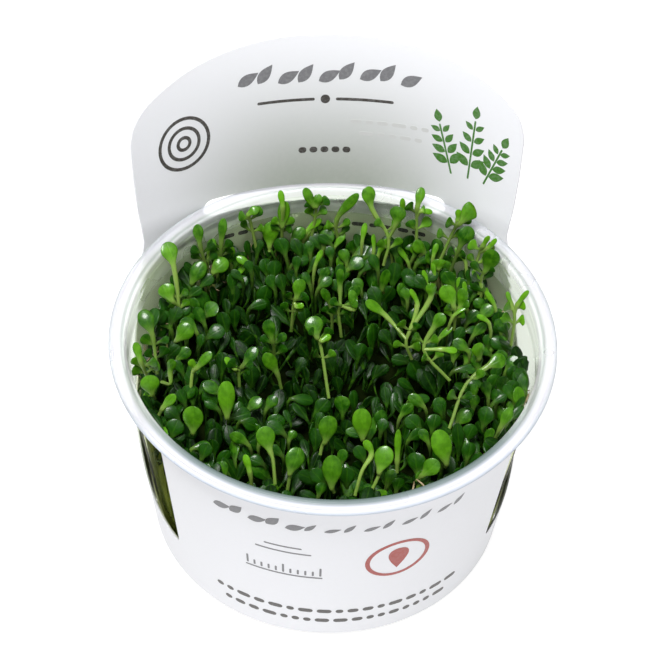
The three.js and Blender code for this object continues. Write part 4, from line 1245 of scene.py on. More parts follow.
@dataclass
class CardPrint:
    """Plain printed decoration: leaf borders, rules, rings, sprigs, dashes, a drop and a bare scale."""

    card: CardSleeve
    seed: int = 7

    def dashes(self, start: float, end: float, z: float, height: float) -> list[Outline]:
        """Returns a row of bars of mixed lengths with even gaps between them."""
        draw = random.Random(self.seed + round(z * 10))
        row = []
        at = start
        while at < end - 1.5:
            length = draw.choice((1.8, 2.6, 3.4))
            row.append(bar(at + length / 2, z, length, height))
            at += length + 0.9
        return row

    def sprig(self, u: float, z: float, height: float, turn: float) -> list[Outline]:
        """Returns a sprig of leaf pairs on a stalk."""
        parts = []
        c, s = slant(turn)
        for i in range(4):
            at = height * (0.22 + 0.2 * i)
            size = 4.0 - 0.5 * i
            for side in (1, -1):
                splay = turn + side * 52
                parts.append(lozenge(u + at * s + side * 0.35, z + at * c, size, size * 0.52, splay))
        parts.append(lozenge(u + height * s, z + height * c, 3.2, 1.9, turn))
        parts.append(bar(u + height * s / 2, z + height * c / 2 - 0.2, height - 0.6, 0.45, 90 - turn))
        return parts

    def header(self) -> None:
        """Prints the header's front-facing face."""
        border = []
        for i in range(9):
            u = -19 + 4.75 * i
            border.append(lozenge(u - 1.6, 85.0 + 0.4 * math.cos(i), 5.6, 2.7, 38 if i % 2 else 62))
        self.card.print_body("print_border", border, Face.INNER, GREY_INK)
        rule = [bar(-9.2, 80.2, 13.5, 0.7), bar(9.2, 80.2, 13.5, 0.7), disc(0, 80.2, 1.1)]
        rule += [bar(u, 67.2, 1.9, 1.5) for u in (-5.2, -2.6, 0, 2.6, 5.2)]
        self.card.print_body("print_rules", rule, Face.INNER, DARK_INK)
        rings = []
        for radius in (6.6, 4.2, 1.9):
            rings += [disc(-34, 74.6, radius, 48), disc(-34, 74.6, radius - 0.8, 40)]
        self.card.print_body("print_rings", rings, Face.INNER, DARK_INK, 0.8)
        for number, (u, turn, height) in enumerate(((30.5, -16, 13), (34.5, 4, 15.5), (38.4, 22, 11.5))):
            shape = self.sprig(u, 65.0, height, turn)
            for part, outline in enumerate(shape):
                self.card.print_body(f"print_sprig_{number}_{part}", [outline], Face.INNER, GREEN_INK)
        faint = self.dashes(6, 25, 74.6, 1.0) + self.dashes(8, 25, 71.6, 1.0)
        self.card.print_body("print_show_through", faint, Face.INNER, FAINT_INK)
        rows = ((-25, 25, 74.6), (-25, 25, 71.4), (-20, 20, 68.2))
        back = [dash for row in rows for dash in self.dashes(*row, 1.2)]
        back += [bar(0, 80.5, 34, 0.8), bar(0, 63.6, 34, 0.8)]
        self.card.print_body("print_back", back, Face.OUTER, GREY_INK)

    def below_rim(self) -> None:
        """Prints the rows that show through the cup's back wall."""
        rows = []
        for side in (1, -1):
            for start, end, z in ((7, 27, 46.4), (31, 45, 48.6)):
                for outline in self.dashes(start, end, z, 1.1):
                    rows.append([(side * u, height) for u, height in outline])
        self.card.print_body("print_below_rim", rows, Face.INNER, DARK_INK)

    def front(self) -> None:
        """Prints the front panel, where u is counted from the middle of the front."""
        self.front_piece("print_front_border", self.front_border(), GREY_INK)
        self.front_piece("print_drop", self.drop(), RED_INK)
        self.front_piece("print_scale", self.scale(), GREY_INK)
        low = self.dashes(-29, 29, 11.4, 1.5) + self.dashes(-27, 27, 7.2, 1.5)
        self.front_piece("print_front_rows", low, DARK_INK)

    def front_piece(self, name: str, outlines: list[Outline], finish: Finish) -> None:
        """Prints a shape whose u is counted from the middle of the front, to the right as one faces it."""
        half = self.card.half_round
        moved = [[(half - u, z) for u, z in outline][::-1] for outline in outlines]
        self.card.print_body(name, moved, Face.OUTER, finish)

    def front_border(self) -> list[Outline]:
        """Returns a row of slim leaves along the panel's top."""
        row = []
        for i in range(14):
            u = -27 + 3.9 * i
            row.append(lozenge(u, 46.2, 4.3 if i < 5 else 3.6, 2.3 if i < 5 else 1.3, 40 if i % 2 else 70))
        return row

    def drop(self) -> list[Outline]:
        """Returns a drop inside a ring."""
        shape = []
        for i in range(40):
            turn = 2 * math.pi * i / 40
            wide = 3.1 * math.sin(turn) * math.sin(turn / 2) ** 1.3
            shape.append((12.5 + wide, 32.0 - 4.2 * math.cos(turn)))
        return [disc(12.5, 32.0, 7.2, 48), disc(12.5, 32.0, 6.2, 48), shape[::-1]]

    def scale(self) -> list[Outline]:
        """Returns a bare scale: a rule with long and short ticks."""
        shape = [bar(-12.0, 26.4, 17.0, 0.5)]
        for i in range(11):
            tall = 3.4 if i % 5 == 0 else 1.9
            shape.append(bar(-20.0 + 1.6 * i, 27.2 + tall / 2, tall, 0.45, 90))
        shape += [bar(-12.0, 36.0, 12.0, 0.5), bar(-12.0, 38.2, 8.0, 0.5)]
        return shape

    def build(self) -> None:
        """Prints every face."""
        self.header()
        self.below_rim()
        self.front()


class LeafSkin(ShapeTree):
    """Wraps a closed skin round the lines that leaves and their stalks follow."""

    def __init__(self) -> None:
        """Draws up the tree: each line is swept with a circle, which is then pressed flat or cupped."""
        super().__init__("leaf_skin")
        sides = self.size("Sides", "Int", 14)
        line = self.add("GeometryNodeMeshToCurve", {"Mesh": self.guide}).outputs["Curve"]
        circle = self.add("GeometryNodeCurvePrimitiveCircle", {"Resolution": sides, "Radius": MM})
        index = self.add("GeometryNodeInputIndex").outputs[0]
        turn = self.math("DIVIDE", self.times(index, 2 * math.pi), sides)
        marked = self.store(circle.outputs["Curve"], "turn", turn)
        inputs = {"Curve": line, "Profile Curve": marked, "Fill Caps": True}
        skin = self.add("GeometryNodeCurveToMesh", inputs).outputs["Mesh"]
        side = self.math("COSINE", self.named("turn"))
        lift = self.math("SINE", self.named("turn"))
        across = self.scaled(self.named("across", "FLOAT_VECTOR"), self.times(side, self.named("half")))
        edge = self.times(self.named("cup"), self.times(side, side))
        rise = self.math("ADD", self.times(lift, self.named("thick")), edge)
        upward = self.scaled(self.named("up", "FLOAT_VECTOR"), rise)
        place = self.vector("ADD", self.named("centre", "FLOAT_VECTOR"), self.vector("ADD", across, upward))
        shaped = self.add("GeometryNodeSetPosition", {"Geometry": skin, "Position": place})
        stored = self.store(shaped.outputs["Geometry"], "side", side)
        self.finish(self.add("GeometryNodeSetShadeSmooth", {"Geometry": stored}).outputs["Geometry"])


@dataclass
class Leaf:
    """One leaf on its stalk: the last stretch of its line carries the blade."""

    line: list[Point]
    width: float
    tone: float | None = 0.5
    cup: float = -0.1
    roll: float = 0.0
    stalk: float = 0.5
    facing: Point = (0.0, -0.66, 0.75)
    thickness: float = 0.5
    dome: float = 0.06
    stalk_steps: int = 4
    blade_steps: int = 12
    closer_to_tip: float = 1.15
    widest: float = 0.63
    thin_stalk: float = 0.78
    full_stalk: float = 1.28
    neck: float = 0.35
    droop_run: float = 0.42
    edge_thickness: float = 0.55
    tip_thickness: float = 0.25
    least_half: float = 0.04
    look_ahead: float = 0.004

    def stations(self) -> list[Flat]:
        """Returns the places along the line as (share of the whole line, share of the blade or below 0)."""
        stretches = len(self.line) - 1
        places = []
        stalk_count = self.stalk_steps * (stretches - 1)
        for i in range(stalk_count):
            at = i / stalk_count
            places.append((at * (stretches - 1) / stretches, at - 1))
        for i in range(self.blade_steps + 1):
            at = math.sin(math.pi / 2 * i / self.blade_steps) ** self.closer_to_tip
            places.append(((stretches - 1 + at) / stretches, at))
        return places

    def fullness(self, along: float) -> float:
        """Returns the blade's width at a place as a share of its widest, for a spoon with a round tip."""
        if along >= self.widest:
            return math.sqrt(max(1 - ((along - self.widest) / (1 - self.widest)) ** 2, 0.0))
        return ease(along / self.widest)

    def section(self, along: float) -> tuple[float, float, float, float]:
        """Works out the skin's section at a place.

        Args:
            along: The share of the blade, or a number below 0 on the stalk.

        Returns:
            Half its width, half its thickness, the rise of its edges and the droop of its middle.
        """
        if along <= 0:
            swell = (self.full_stalk - self.thin_stalk) * ease((along + 0.5) / 0.5)
            half = self.stalk * (self.thin_stalk + swell)
            return half, half, 0.0, 0.0
        full = self.fullness(along)
        stem = self.stalk * self.full_stalk
        half = max(stem * (1 - along) + (self.width / 2 - stem * (1 - along)) * full, self.least_half)
        blend = ease(along / self.neck)
        crown = (1 - self.edge_thickness) * math.sqrt(max(1 - along**2, 0.0))
        body = self.thickness / 2 * (self.edge_thickness + crown)
        thick = (stem * (1 - blend) + body * blend) * min(1.0, self.tip_thickness + 3 * (1 - along))
        droop = self.dome * self.width * max(along - self.neck, 0.0) ** 2 / self.droop_run
        return half, thick, self.cup * self.width * full, droop

    def rows(self) -> list[dict[str, object]]:
        """Returns, for each place along the line, what the skin needs there."""
        points = [Vector(p) for p in self.line]
        rows = []
        for share, along in self.stations():
            before, after = max(share - self.look_ahead, 0.0), min(share + self.look_ahead, 1.0)
            ahead = centripetal(points, after) - centripetal(points, before)
            ahead.normalize()
            facing = Matrix.Rotation(math.radians(self.roll), 3, ahead) @ Vector(self.facing)
            across = facing.cross(ahead).normalized()
            up = ahead.cross(across)
            half, thick, cup, droop = self.section(along)
            rows.append({
                "centre": (centripetal(points, share) - up * droop) * MM, "across": across, "up": up,
                "half": half * MM, "thick": thick * MM, "cup": cup * MM, "along": along,
            })
        return rows


class Greenhouse:
    """Makes meshes of many leaves with one skin tree."""

    def __init__(self) -> None:
        """Draws up the skin tree."""
        self.skin = LeafSkin()

    def grow(self, name: str, leaves: list[Leaf], sides: int = 14) -> Mesh:
        """Makes one mesh of some leaves.

        Args:
            name: The mesh's name.
            leaves: The leaves.
            sides: How many points there are round each leaf.

        Returns:
            The mesh.
        """
        rows: list[dict[str, object]] = []
        edges = []
        tones = []
        for leaf in leaves:
            made = leaf.rows()
            edges += [(len(rows) + i, len(rows) + i + 1) for i in range(len(made) - 1)]
            tones += [leaf.tone] * len(made)
            rows += made
        guide = mesh_from(name + "_lines", [tuple(row["centre"] / MM) for row in rows], [], edges)
        vectors, numbers = ("centre", "across", "up"), ("half", "thick", "cup", "along")
        for key in vectors:
            layer = guide.attributes.new(key, "FLOAT_VECTOR", "POINT")
            layer.data.foreach_set("vector", [c for row in rows for c in row[key]])
        values = {key: [row[key] for row in rows] for key in numbers}
        if None not in tones:
            values["tone"] = tones
        for key, numbered in values.items():
            guide.attributes.new(key, "FLOAT", "POINT").data.foreach_set("value", numbered)
        mesh = self.skin.run(name, guide, Sides=sides, Material=LEAF.material(), **ClearCup().limits())
        for key in (*vectors, *numbers[:3], "turn"):
            if key in mesh.attributes:
                mesh.attributes.remove(mesh.attributes[key])
        return mesh


class Scatter(ShapeTree):
    """Sets copies of a few small shapes over a surface, each turned, leaned, sunk and toned at random, with
    painted shade in the tone of the deeper copies and of those in the hollow.
    """

    hollow_edges: Flat = (0.005, 0.018)
    hollow_share: float = 0.95
    hollow_painted_shade: float = 0.3
    clump_scale: float = 120.0
    clump_range: Flat = (0.38, 0.55)
    least_clump: float = 0.15
    patch_scale: float = 75.0
    patch_range: Flat = (0.36, 0.62)
    patch_tones: Flat = (0.35, 1.2)
    depth_painted_shade: float = 0.95
    last_kind: int = 11

    def __init__(self) -> None:
        """Draws up the tree, with its lengths in metres and its turns in radians."""
        super().__init__("scatter")
        kinds = self.size("Kinds", "Collection")
        self.size("Seed", "Int", 1)
        usual = {
            "Spacing": 0.002, "Smallest": 0.8, "Largest": 1.1, "Lean": 0.3, "Swing": 0.8, "Sink": 0.0,
            "Dark Tone": 0.1, "Light Tone": 0.6,
        }
        size = {name: self.size(name, "Float", value) for name, value in usual.items()}
        hollow = self.size("Hollow", "Vector", (0.0, 0.0, 0.0))
        place = self.add("GeometryNodeInputPosition").outputs[0]
        level = self.vector("MULTIPLY", place, (1.0, 1.0, 0.0))
        away = self.add("ShaderNodeVectorMath", {0: level, 1: hollow}, operation="DISTANCE").outputs["Value"]
        outside = self.spread(away, *self.hollow_edges)
        clump = self.spread(
            self.cloud(place, self.clump_scale, 1.0), *self.clump_range, self.least_clump, 1.0
        )
        full = self.times(clump, self.spread(outside, 0.0, 1.0, self.hollow_share, 1.0))
        inputs = {
            "Mesh": self.guide, "Distance Min": size["Spacing"], "Density Max": 1e6, "Density Factor": full,
            "Seed": self.entry.outputs["Seed"],
        }
        scattered = self.add("GeometryNodeDistributePointsOnFaces", inputs, distribute_method="POISSON")
        depth = self.random(0.0, 1.0, 1)
        deep = self.times(depth, depth)
        drop = self.joined(Z=self.times(deep, self.times(size["Sink"], -1.0)))
        inputs = {"Geometry": scattered.outputs["Points"], "Offset": drop}
        sunk = self.add("GeometryNodeSetPosition", inputs).outputs[0]
        minus_lean, minus_swing = self.times(size["Lean"], -1.0), self.times(size["Swing"], -1.0)
        turn = self.joined(
            X=self.random(minus_lean, size["Lean"], 2),
            Y=self.random(minus_lean, size["Lean"], 3),
            Z=self.random(minus_swing, size["Swing"], 4),
        )
        inputs = {"Collection": kinds, "Separate Children": True, "Reset Children": True}
        picked = self.add("GeometryNodeCollectionInfo", inputs)
        placed = self.add("GeometryNodeInstanceOnPoints", {
            "Points": sunk,
            "Instance": picked.outputs[0],
            "Pick Instance": True,
            "Instance Index": self.random(0, self.last_kind, 5, "INT"),
            "Rotation": turn,
            "Scale": self.random(size["Smallest"], size["Largest"], 6),
        }).outputs["Instances"]
        tone = self.random(size["Dark Tone"], size["Light Tone"], 7)
        patch = self.spread(self.cloud(place, self.patch_scale, 0.0), *self.patch_range, *self.patch_tones)
        # Painted shade: the tone is darkened in the hollow and for copies sunk deeper.
        patch_tone_and_hollow_shade = self.times(patch, self.spread(outside, 0.0, 1.0, self.hollow_painted_shade, 1.0))
        depth_shaded = self.math("SUBTRACT", 1.0, self.times(deep, self.depth_painted_shade))
        shade = self.times(self.times(tone, patch_tone_and_hollow_shade), depth_shaded)
        self.finish(self.store(placed, "tone", shade, "INSTANCE"))


@dataclass
class Bed:
    """The bed that the shoots stand in: its height at each place, and the room inside the cup."""

    cup: ClearCup
    bottom: float = 14.0
    top: float = 44.5
    tilt: float = 0.115
    bump: float = 1.1
    wave_across: Flat = (0.22, 0.4)
    wave_ahead: Flat = (0.19, -0.7)
    cross_wave: Point = (0.4, 0.28, 0.24)
    side_gap: float = 0.4
    foot_gap: float = 0.4
    bank_rise: float = 4.0
    bank_start: float = 24.0
    bank_run: float = 16.0
    bank_front: float = 8.0
    bank_depth: float = 20.0
    hollow_depth: float = 4.5
    hollow_place: Flat = (-9.0, 8.0)
    hollow_spread: float = 11.0

    def height(self, x: float, y: float) -> float:
        """Returns the height of the bed's top, with its waves, its bank at the back and its dark hollow."""
        across = math.cos(self.wave_across[0] * x + self.wave_across[1])
        ahead = math.cos(self.wave_ahead[0] * y + self.wave_ahead[1])
        share, slope_x, slope_y = self.cross_wave
        waves = across * ahead + share * math.cos(slope_x * x - slope_y * y)
        climb = ease((math.hypot(x, y) - self.bank_start) / self.bank_run)
        bank = climb * ease((y - self.bank_front) / self.bank_depth)
        away = math.hypot(x - self.hollow_place[0], y - self.hollow_place[1]) / self.hollow_spread
        level = self.top - self.tilt * y + self.bump * waves
        return level + self.bank_rise * bank - self.hollow_depth * math.exp(-away * away / 2)

    def room(self, z: float) -> float:
        """Returns the radius that plants keep to inside the cup."""
        return self.cup.inside(z) - self.side_gap

    def surface(self, name: str, radius: float, sink: float, rings: int = 16, sectors: int = 64) -> Mesh:
        """Makes an open disc that follows the bed's top.

        Args:
            name: The mesh's name.
            radius: The disc's radius.
            sink: How far below the bed's top it lies.
            rings: How many rings of points it has.
            sectors: How many points a ring has.

        Returns:
            The mesh.
        """
        points = [(0.0, 0.0, self.height(0, 0) - sink)]
        for reach in (radius * r / rings for r in range(1, rings + 1)):
            for c, s in directions(sectors):
                points.append((reach * c, reach * s, self.height(reach * c, reach * s) - sink))
        faces = [(0, 1 + i, 1 + (i + 1) % sectors) for i in range(sectors)]
        faces += [(a, d, c, b) for a, b, c, d in ring_faces(1, rings, sectors)]
        return mesh_from(name, points, faces)

    def band(self, name: str, inset: float, low: float, rise: float, sectors: int = 96) -> Mesh:
        """Makes an open band just inside the cup's wall.

        Args:
            name: The mesh's name.
            inset: How far inside the plants' room it stands.
            low: The height of its foot.
            rise: How far its top is above the bed's.
            sectors: How many points an edge has.

        Returns:
            The mesh.
        """
        edge = self.room(self.top)
        points = []
        for top in (False, True):
            for c, s in directions(sectors):
                z = self.height(edge * c, edge * s) + rise if top else low
                radius = self.room(z) - inset
                points.append((radius * c, radius * s, z))
        return mesh_from(name, points, ring_faces(0, 2, sectors))


@dataclass
class StudioView:
    """The camera that takes the picture, and the lines of sight through its pixels."""

    azimuth: float = -4.69
    elevation: float = 48.09
    roll: float = 2.58
    distance: float = 500.0
    focal_pixels: float = 2246.0
    frame_pixels: float = 665.0
    aim_side: float = -0.23
    aim_height: float = 58.2
    sensor: float = 36.0
    clipping: Flat = (0.01, 20.0)
    search_steps: int = 12

    def __post_init__(self) -> None:
        """Works out where the camera stands and how it is turned."""
        ahead, side = slant(self.azimuth)
        level_share, climb = slant(self.elevation)
        self.back = Vector((side * level_share, -ahead * level_share, climb))
        aim = Vector((self.aim_side * ahead, self.aim_side * side, self.aim_height))
        self.eye = aim + self.back * self.distance
        level = (-self.back).cross(Vector((0, 0, 1))).normalized()
        upright = level.cross(-self.back)
        c, s = slant(self.roll)
        self.right = level * c + upright * s
        self.up = upright * c - level * s

    def sight(self, across: float, down: float) -> Vector:
        """Returns the direction of the line of sight through a pixel."""
        middle = self.frame_pixels / 2
        side = self.right * ((across - middle) / self.focal_pixels)
        rise = self.up * ((middle - down) / self.focal_pixels)
        return (side + rise - self.back).normalized()

    def on_bed(self, bed: Bed, across: float, down: float, rise: float) -> Vector:
        """Finds where a line of sight meets the bed.

        Args:
            bed: The bed.
            across: The pixel's place from the left of the frame.
            down: The pixel's place from the top of the frame.
            rise: How far above the bed the place is.

        Returns:
            The place.
        """
        line = self.sight(across, down)
        height = bed.top
        for _ in range(self.search_steps):
            place = self.eye + line * ((height - self.eye.z) / line.z)
            height = bed.height(place.x, place.y) + rise
        return place

    def build(self) -> None:
        """Puts the camera into the scene."""
        data = bpy.data.cameras.new("studio_camera")
        data.sensor_width = self.sensor
        data.lens = self.sensor * self.focal_pixels / self.frame_pixels
        data.clip_start, data.clip_end = self.clipping
        camera = bpy.data.objects.new("studio_camera", data)
        turned = Matrix((self.right, self.up, self.back)).transposed()
        camera.matrix_world = Matrix.Translation(self.eye * MM) @ turned.to_4x4()
        bpy.context.scene.collection.objects.link(camera)
        bpy.context.scene.camera = camera


@dataclass(frozen=True)
class Seen:
    """A small leaf of the crowd, by the pixel of the photograph where its blade's middle is.

    Lean is the blade's turn from upright to the right in degrees; length, width and the rise above the
    bed's top are real sizes.
    """

    across: float
    down: float
    lean: float
    length: float
    width: float
    tone: float = 0.5
    rise: float = -1.0


CROWD = [
    Seen(277, 235, 4, 5.0, 4.0, 0.40), Seen(222, 364, 4, 5.5, 3.6, 0.22), Seen(210, 311, 35, 4.6, 4.2, 0.62),
    Seen(224, 324, -12, 6.0, 3.4, 0.25), Seen(258, 306, 70, 4.4, 3.0, 0.45),
    Seen(190, 302, 75, 3.4, 2.2, 0.60), Seen(252, 378, 0, 5.6, 4.2, 0.32), Seen(394, 276, 6, 6.6, 3.7, 0.30),
    Seen(362, 252, 60, 4.4, 3.4, 0.55), Seen(354, 237, -10, 4.0, 3.3, 0.50),
    Seen(335, 229, 10, 3.8, 3.4, 0.22), Seen(331, 218, -20, 4.0, 3.0, 0.50),
    Seen(409, 284, -8, 4.5, 2.9, 0.40), Seen(400, 361, -70, 4.2, 2.9, 0.42),
    Seen(340, 264, 5, 4.0, 2.2, 0.70), Seen(343, 276, 15, 4.2, 3.0, 0.55),
    Seen(337, 287, -30, 4.0, 3.0, 0.48), Seen(500, 321, 8, 5.2, 3.4, 0.30),
    Seen(472, 331, 80, 3.6, 2.2, 0.50), Seen(461, 303, 0, 4.8, 3.4, 0.50),
    Seen(174, 430, 20, 4.8, 4.4, 0.42), Seen(173, 415, -40, 4.2, 3.6, 0.40),
    Seen(201, 447, 75, 4.2, 2.4, 0.55), Seen(276, 424, 12, 4.4, 4.2, 0.48),
    Seen(292, 436, 30, 2.6, 2.2, 0.62), Seen(240, 416, 70, 4.8, 3.6, 0.40),
    Seen(249, 424, 110, 4.0, 3.2, 0.38), Seen(347, 478, 0, 5.0, 3.4, 0.34),
    Seen(302, 400, 95, 5.2, 2.8, 0.45), Seen(257, 462, -60, 3.6, 3.0, 0.40),
    Seen(271, 489, 85, 3.4, 1.8, 0.85), Seen(321, 490, 20, 3.2, 2.8, 0.50),
    Seen(211, 400, -20, 5.4, 4.0, 0.40), Seen(145, 397, -60, 3.0, 1.6, 0.95),
    Seen(382, 421, -14, 5.2, 3.3, 0.50), Seen(406, 414, 10, 4.8, 3.4, 0.35),
    Seen(434, 424, 12, 4.2, 3.8, 0.45), Seen(414, 424, -40, 4.6, 3.8, 0.42),
    Seen(416, 436, 55, 4.2, 3.0, 0.42), Seen(458, 439, -4, 7.4, 2.8, 0.26),
    Seen(469, 434, 24, 4.8, 3.6, 0.42), Seen(469, 452, 10, 4.3, 3.2, 0.45),
    Seen(466, 416, -16, 4.2, 4.0, 0.45), Seen(485, 418, 10, 5.2, 4.0, 0.45),
    Seen(416, 465, -8, 5.4, 4.4, 0.46), Seen(398, 485, 14, 3.4, 3.0, 0.50),
    Seen(379, 494, 88, 3.8, 1.8, 0.85), Seen(494, 383, 30, 4.0, 3.6, 0.48),
    Seen(508, 392, 65, 3.8, 2.4, 0.55), Seen(439, 410, -30, 3.0, 2.6, 0.40),
    Seen(419, 400, 80, 4.8, 2.4, 0.42), Seen(476, 384, -60, 4.4, 2.6, 0.42),
    Seen(467, 370, 84, 6.6, 2.4, 0.50), Seen(305, 318, 0, 4.6, 3.6, 0.45),
    Seen(360, 352, 15, 4.2, 3.4, 0.38), Seen(330, 365, -20, 4.6, 3.4, 0.35),
    Seen(300, 366, 20, 4.2, 3.0, 0.36), Seen(386, 338, -30, 4.4, 3.2, 0.36),
    Seen(416, 318, 0, 4.6, 3.4, 0.40), Seen(430, 350, 25, 4.4, 3.2, 0.38),
    Seen(240, 284, 40, 4.6, 3.0, 0.36), Seen(266, 268, -10, 4.6, 3.4, 0.40),
    Seen(300, 262, 65, 4.4, 2.8, 0.42),
]


@dataclass(frozen=True)
class Patch:
    """A stretch of the picture that many leaves fill: its edges in pixels, and what its leaves are like."""

    left: float
    right: float
    top: float
    foot: float
    count: int
    dark: float
    light: float
    most_rise: float
    fullness: float = 1.0

    def leaves(self, draw: random.Random) -> list[Seen]:
        """Returns the patch's leaves, placed by chance."""
        made = []
        for _ in range(self.count):
            length = draw.uniform(3.5, 5.2)
            across, down = draw.uniform(self.left, self.right), draw.uniform(self.top, self.foot)
            lean = draw.uniform(-55, 55)
            width = length * draw.uniform(0.55, 0.8) * self.fullness
            tone = draw.uniform(self.dark, self.light)
            made.append(Seen(across, down, lean, length, width, tone, draw.uniform(-1.0, self.most_rise)))
        return made


PATCHES = [
    Patch(425, 508, 250, 345, 16, 0.86, 1.0, 7.0, 0.5),
    Patch(300, 425, 225, 260, 10, 0.80, 1.0, 7.0, 0.5),
    Patch(200, 260, 240, 280, 6, 0.76, 0.95, 6.0, 0.6),
    Patch(205, 330, 232, 285, 34, 0.28, 0.58, 3.5),
    Patch(330, 480, 232, 300, 44, 0.30, 0.62, 3.5),
    Patch(450, 512, 300, 400, 34, 0.32, 0.66, 2.5),
    Patch(150, 215, 290, 400, 28, 0.24, 0.56, 2.0),
    Patch(180, 480, 400, 500, 40, 0.34, 0.64, 0.5),
]


@dataclass(frozen=True)
class Strewn:
    """How one scattered piece of the mat is strewn, with its lengths in millimetres."""

    name: str
    slot: str
    finish: Finish
    seed: int
    spacing: float
    sink: float
    scales: Flat
    lean: float
    swing: float
    tones: Flat

    def sizes(self) -> dict[str, float]:
        """Returns the scatter's named sizes."""
        return {
            "Seed": self.seed, "Spacing": self.spacing * MM, "Sink": self.sink * MM,
            "Smallest": self.scales[0], "Largest": self.scales[1], "Lean": self.lean, "Swing": self.swing,
            "Dark_Tone": self.tones[0], "Light_Tone": self.tones[1],
        }


@dataclass(frozen=True)
class Thread:
    """A kind of bent thread, such as a stem or a root."""

    name: str
    seed: int
    length: float
    radius: float
    wander: float


@dataclass
class PlantMat:
    """The undergrowth: a heart painted near-black as the mat's deep shade, stems by the wall, old roots, and
    a crowd of small leaves on top.
    """

    bed: Bed
    greenhouse: Greenhouse
    scatter: Scatter
    view: StudioView
    heart_depth: float = 12.0
    heart_fall: Flat = (11.0, 9.0)
    heart_rings: int = 14
    heart_sectors: int = 64
    heart_edge: float = 40.0
    heart_inset: float = 5.0
    heart_foot: float = 0.2
    leaf_depth: float = 3.4
    crowd_inset: float = 1.6
    foot_drop: float = 6.5
    seed: int = 11
    kinds: int = 12
    top_leaves: Strewn = Strewn("mat_leaves", "leaf", LEAF, 11, 2.1, 9.0, (0.6, 0.98), 0.5, 1.0, (0.12, 0.62))
    side_leaves: Strewn = Strewn(
        "mat_side_leaves", "leaf", LEAF, 11, 1.9, 2.0, (0.6, 0.98), 0.5, 1.0, (0.15, 0.7)
    )
    stems: Strewn = Strewn(
        "mat_stems", "undergrowth", OLIVE_STEM, 12, 1.05, 0.0, (0.8, 1.3), 0.12, 3.1, (0.05, 0.5)
    )
    roots: Strewn = Strewn(
        "mat_roots", "undergrowth", OLD_ROOT, 13, 4.0, 0.0, (0.5, 1.0), 1.1, 3.1, (0.1, 0.5)
    )
    stem: Thread = Thread("stem", 15, 11.0, 0.55, 1.4)
    root: Thread = Thread("old_root", 19, 5.0, 0.2, 1.8)

    def strew(self, way: Strewn, guide: Mesh, kinds: list[Mesh]) -> None:
        """Scatters some kinds of shape over a guide and settles the piece.

        Args:
            way: How they are strewn.
            guide: The surface.
            kinds: The shapes, which are used up.
        """
        held = bpy.data.collections.new(way.name + "_kinds")
        for i, mesh in enumerate(kinds):
            held.objects.link(bpy.data.objects.new(f"{held.name}_{i:02d}", mesh))
        hollow = [c * MM for c in (*self.bed.hollow_place, 0.0)]
        mesh = self.scatter.run(way.name, guide, Kinds=held, Material=way.finish.material(), Hollow=hollow,
                                **self.bed.cup.limits(), **way.sizes())
        for thing in list(held.objects):
            bpy.data.objects.remove(thing)
        for kind in kinds:
            bpy.data.meshes.remove(kind)
        bpy.data.collections.remove(held)
        settle(object_from(way.name, mesh, way.finish), way.slot, "plant_mat")

    def small_leaves(self) -> list[Mesh]:
        """Returns the kinds of small leaf, each with its blade's middle near the origin."""
        draw = random.Random(self.seed)
        made = []
        for i in range(self.kinds):
            length = draw.uniform(4.6, 6.2)
            width = length * draw.uniform(0.52, 0.76)
            lean = draw.uniform(-0.6, 0.6)
            tip = Vector((lean * length * 0.6, length * 0.42, length * 0.5))
            base = -tip * 0.75
            bend = draw.uniform(-1.5, 1.5)
            foot = base + Vector((bend, draw.uniform(-1.5, 1.0), -5.5))
            leaf = Leaf([tuple(foot), tuple(base), tuple(tip)], width, None, draw.uniform(-0.12, 0.05),
                        draw.uniform(-30, 30), 0.34, thickness=0.4, dome=draw.uniform(0.0, 0.2),
                        stalk_steps=2, blade_steps=7)
            made.append(self.greenhouse.grow(f"small_leaf_{i}", [leaf], 8))
        return made

    def threads(self, kind: Thread) -> list[Mesh]:
        """Returns bent threads of one kind that climb from the origin."""
        draw = random.Random(kind.seed)
        made = []
        steps = 3
        for i in range(self.kinds):
            line = [(0.0, 0.0, 0.0)]
            for step in range(1, steps + 1):
                drift = kind.wander * step / steps
                side, ahead = draw.uniform(-drift, drift), draw.uniform(-drift, drift) * 0.4
                line.append((side, ahead, kind.length * step / steps))
            width = kind.radius * 2
            leaf = Leaf(line, width, None, 0.0, 0.0, kind.radius, thickness=width,
                        stalk_steps=2, blade_steps=2)
            made.append(self.greenhouse.grow(f"{kind.name}_{i}", [leaf], 5))
        return made

    def heart(self) -> None:
        """Makes the heart of the mat, painted near-black as shade, which closes the view between the leaves.
        """
        bed, sectors = self.bed, self.heart_sectors
        points: list[Point] = []
        draw = random.Random(self.seed + 3)
        foot = bed.bottom + self.heart_foot
        rows = [(0.0, foot), (0.0, 20.0), (0.0, 27.0), (0.1, None), (2.2, None)]
        for inset, level in rows:
            for c, s in directions(sectors):
                fall = self.heart_fall[0 if inset < 1 else 1]
                z = level or bed.height(self.heart_edge * c, self.heart_edge * s) - fall
                wobble = bed.room(z) - inset + draw.uniform(-0.2, 0.1)
                points.append((wobble * c, wobble * s, z + draw.uniform(-0.3, 0.3)))
        for r in range(self.heart_rings):
            radius = (bed.room(38) - self.heart_inset) * (1 - r / self.heart_rings)
            for c, s in directions(sectors):
                x, y = radius * c, radius * s
                points.append((x, y, bed.height(x, y) - self.heart_depth + draw.uniform(-0.8, 0.8)))
        total = len(rows) + self.heart_rings
        faces = ring_faces(0, total, sectors)
        points += [(0.0, 0.0, bed.height(0, 0) - self.heart_depth), (0.0, 0.0, foot)]
        last = (total - 1) * sectors
        for i in range(sectors):
            after = (i + 1) % sectors
            faces += [(last + i, last + after, len(points) - 2), (after, i, len(points) - 1)]
        mesh = mesh_from("mat_heart", points, faces)
        mesh.shade_smooth()
        settle(object_from("mat_heart", mesh, SHADOW_HEART), "undergrowth", "plant_mat")

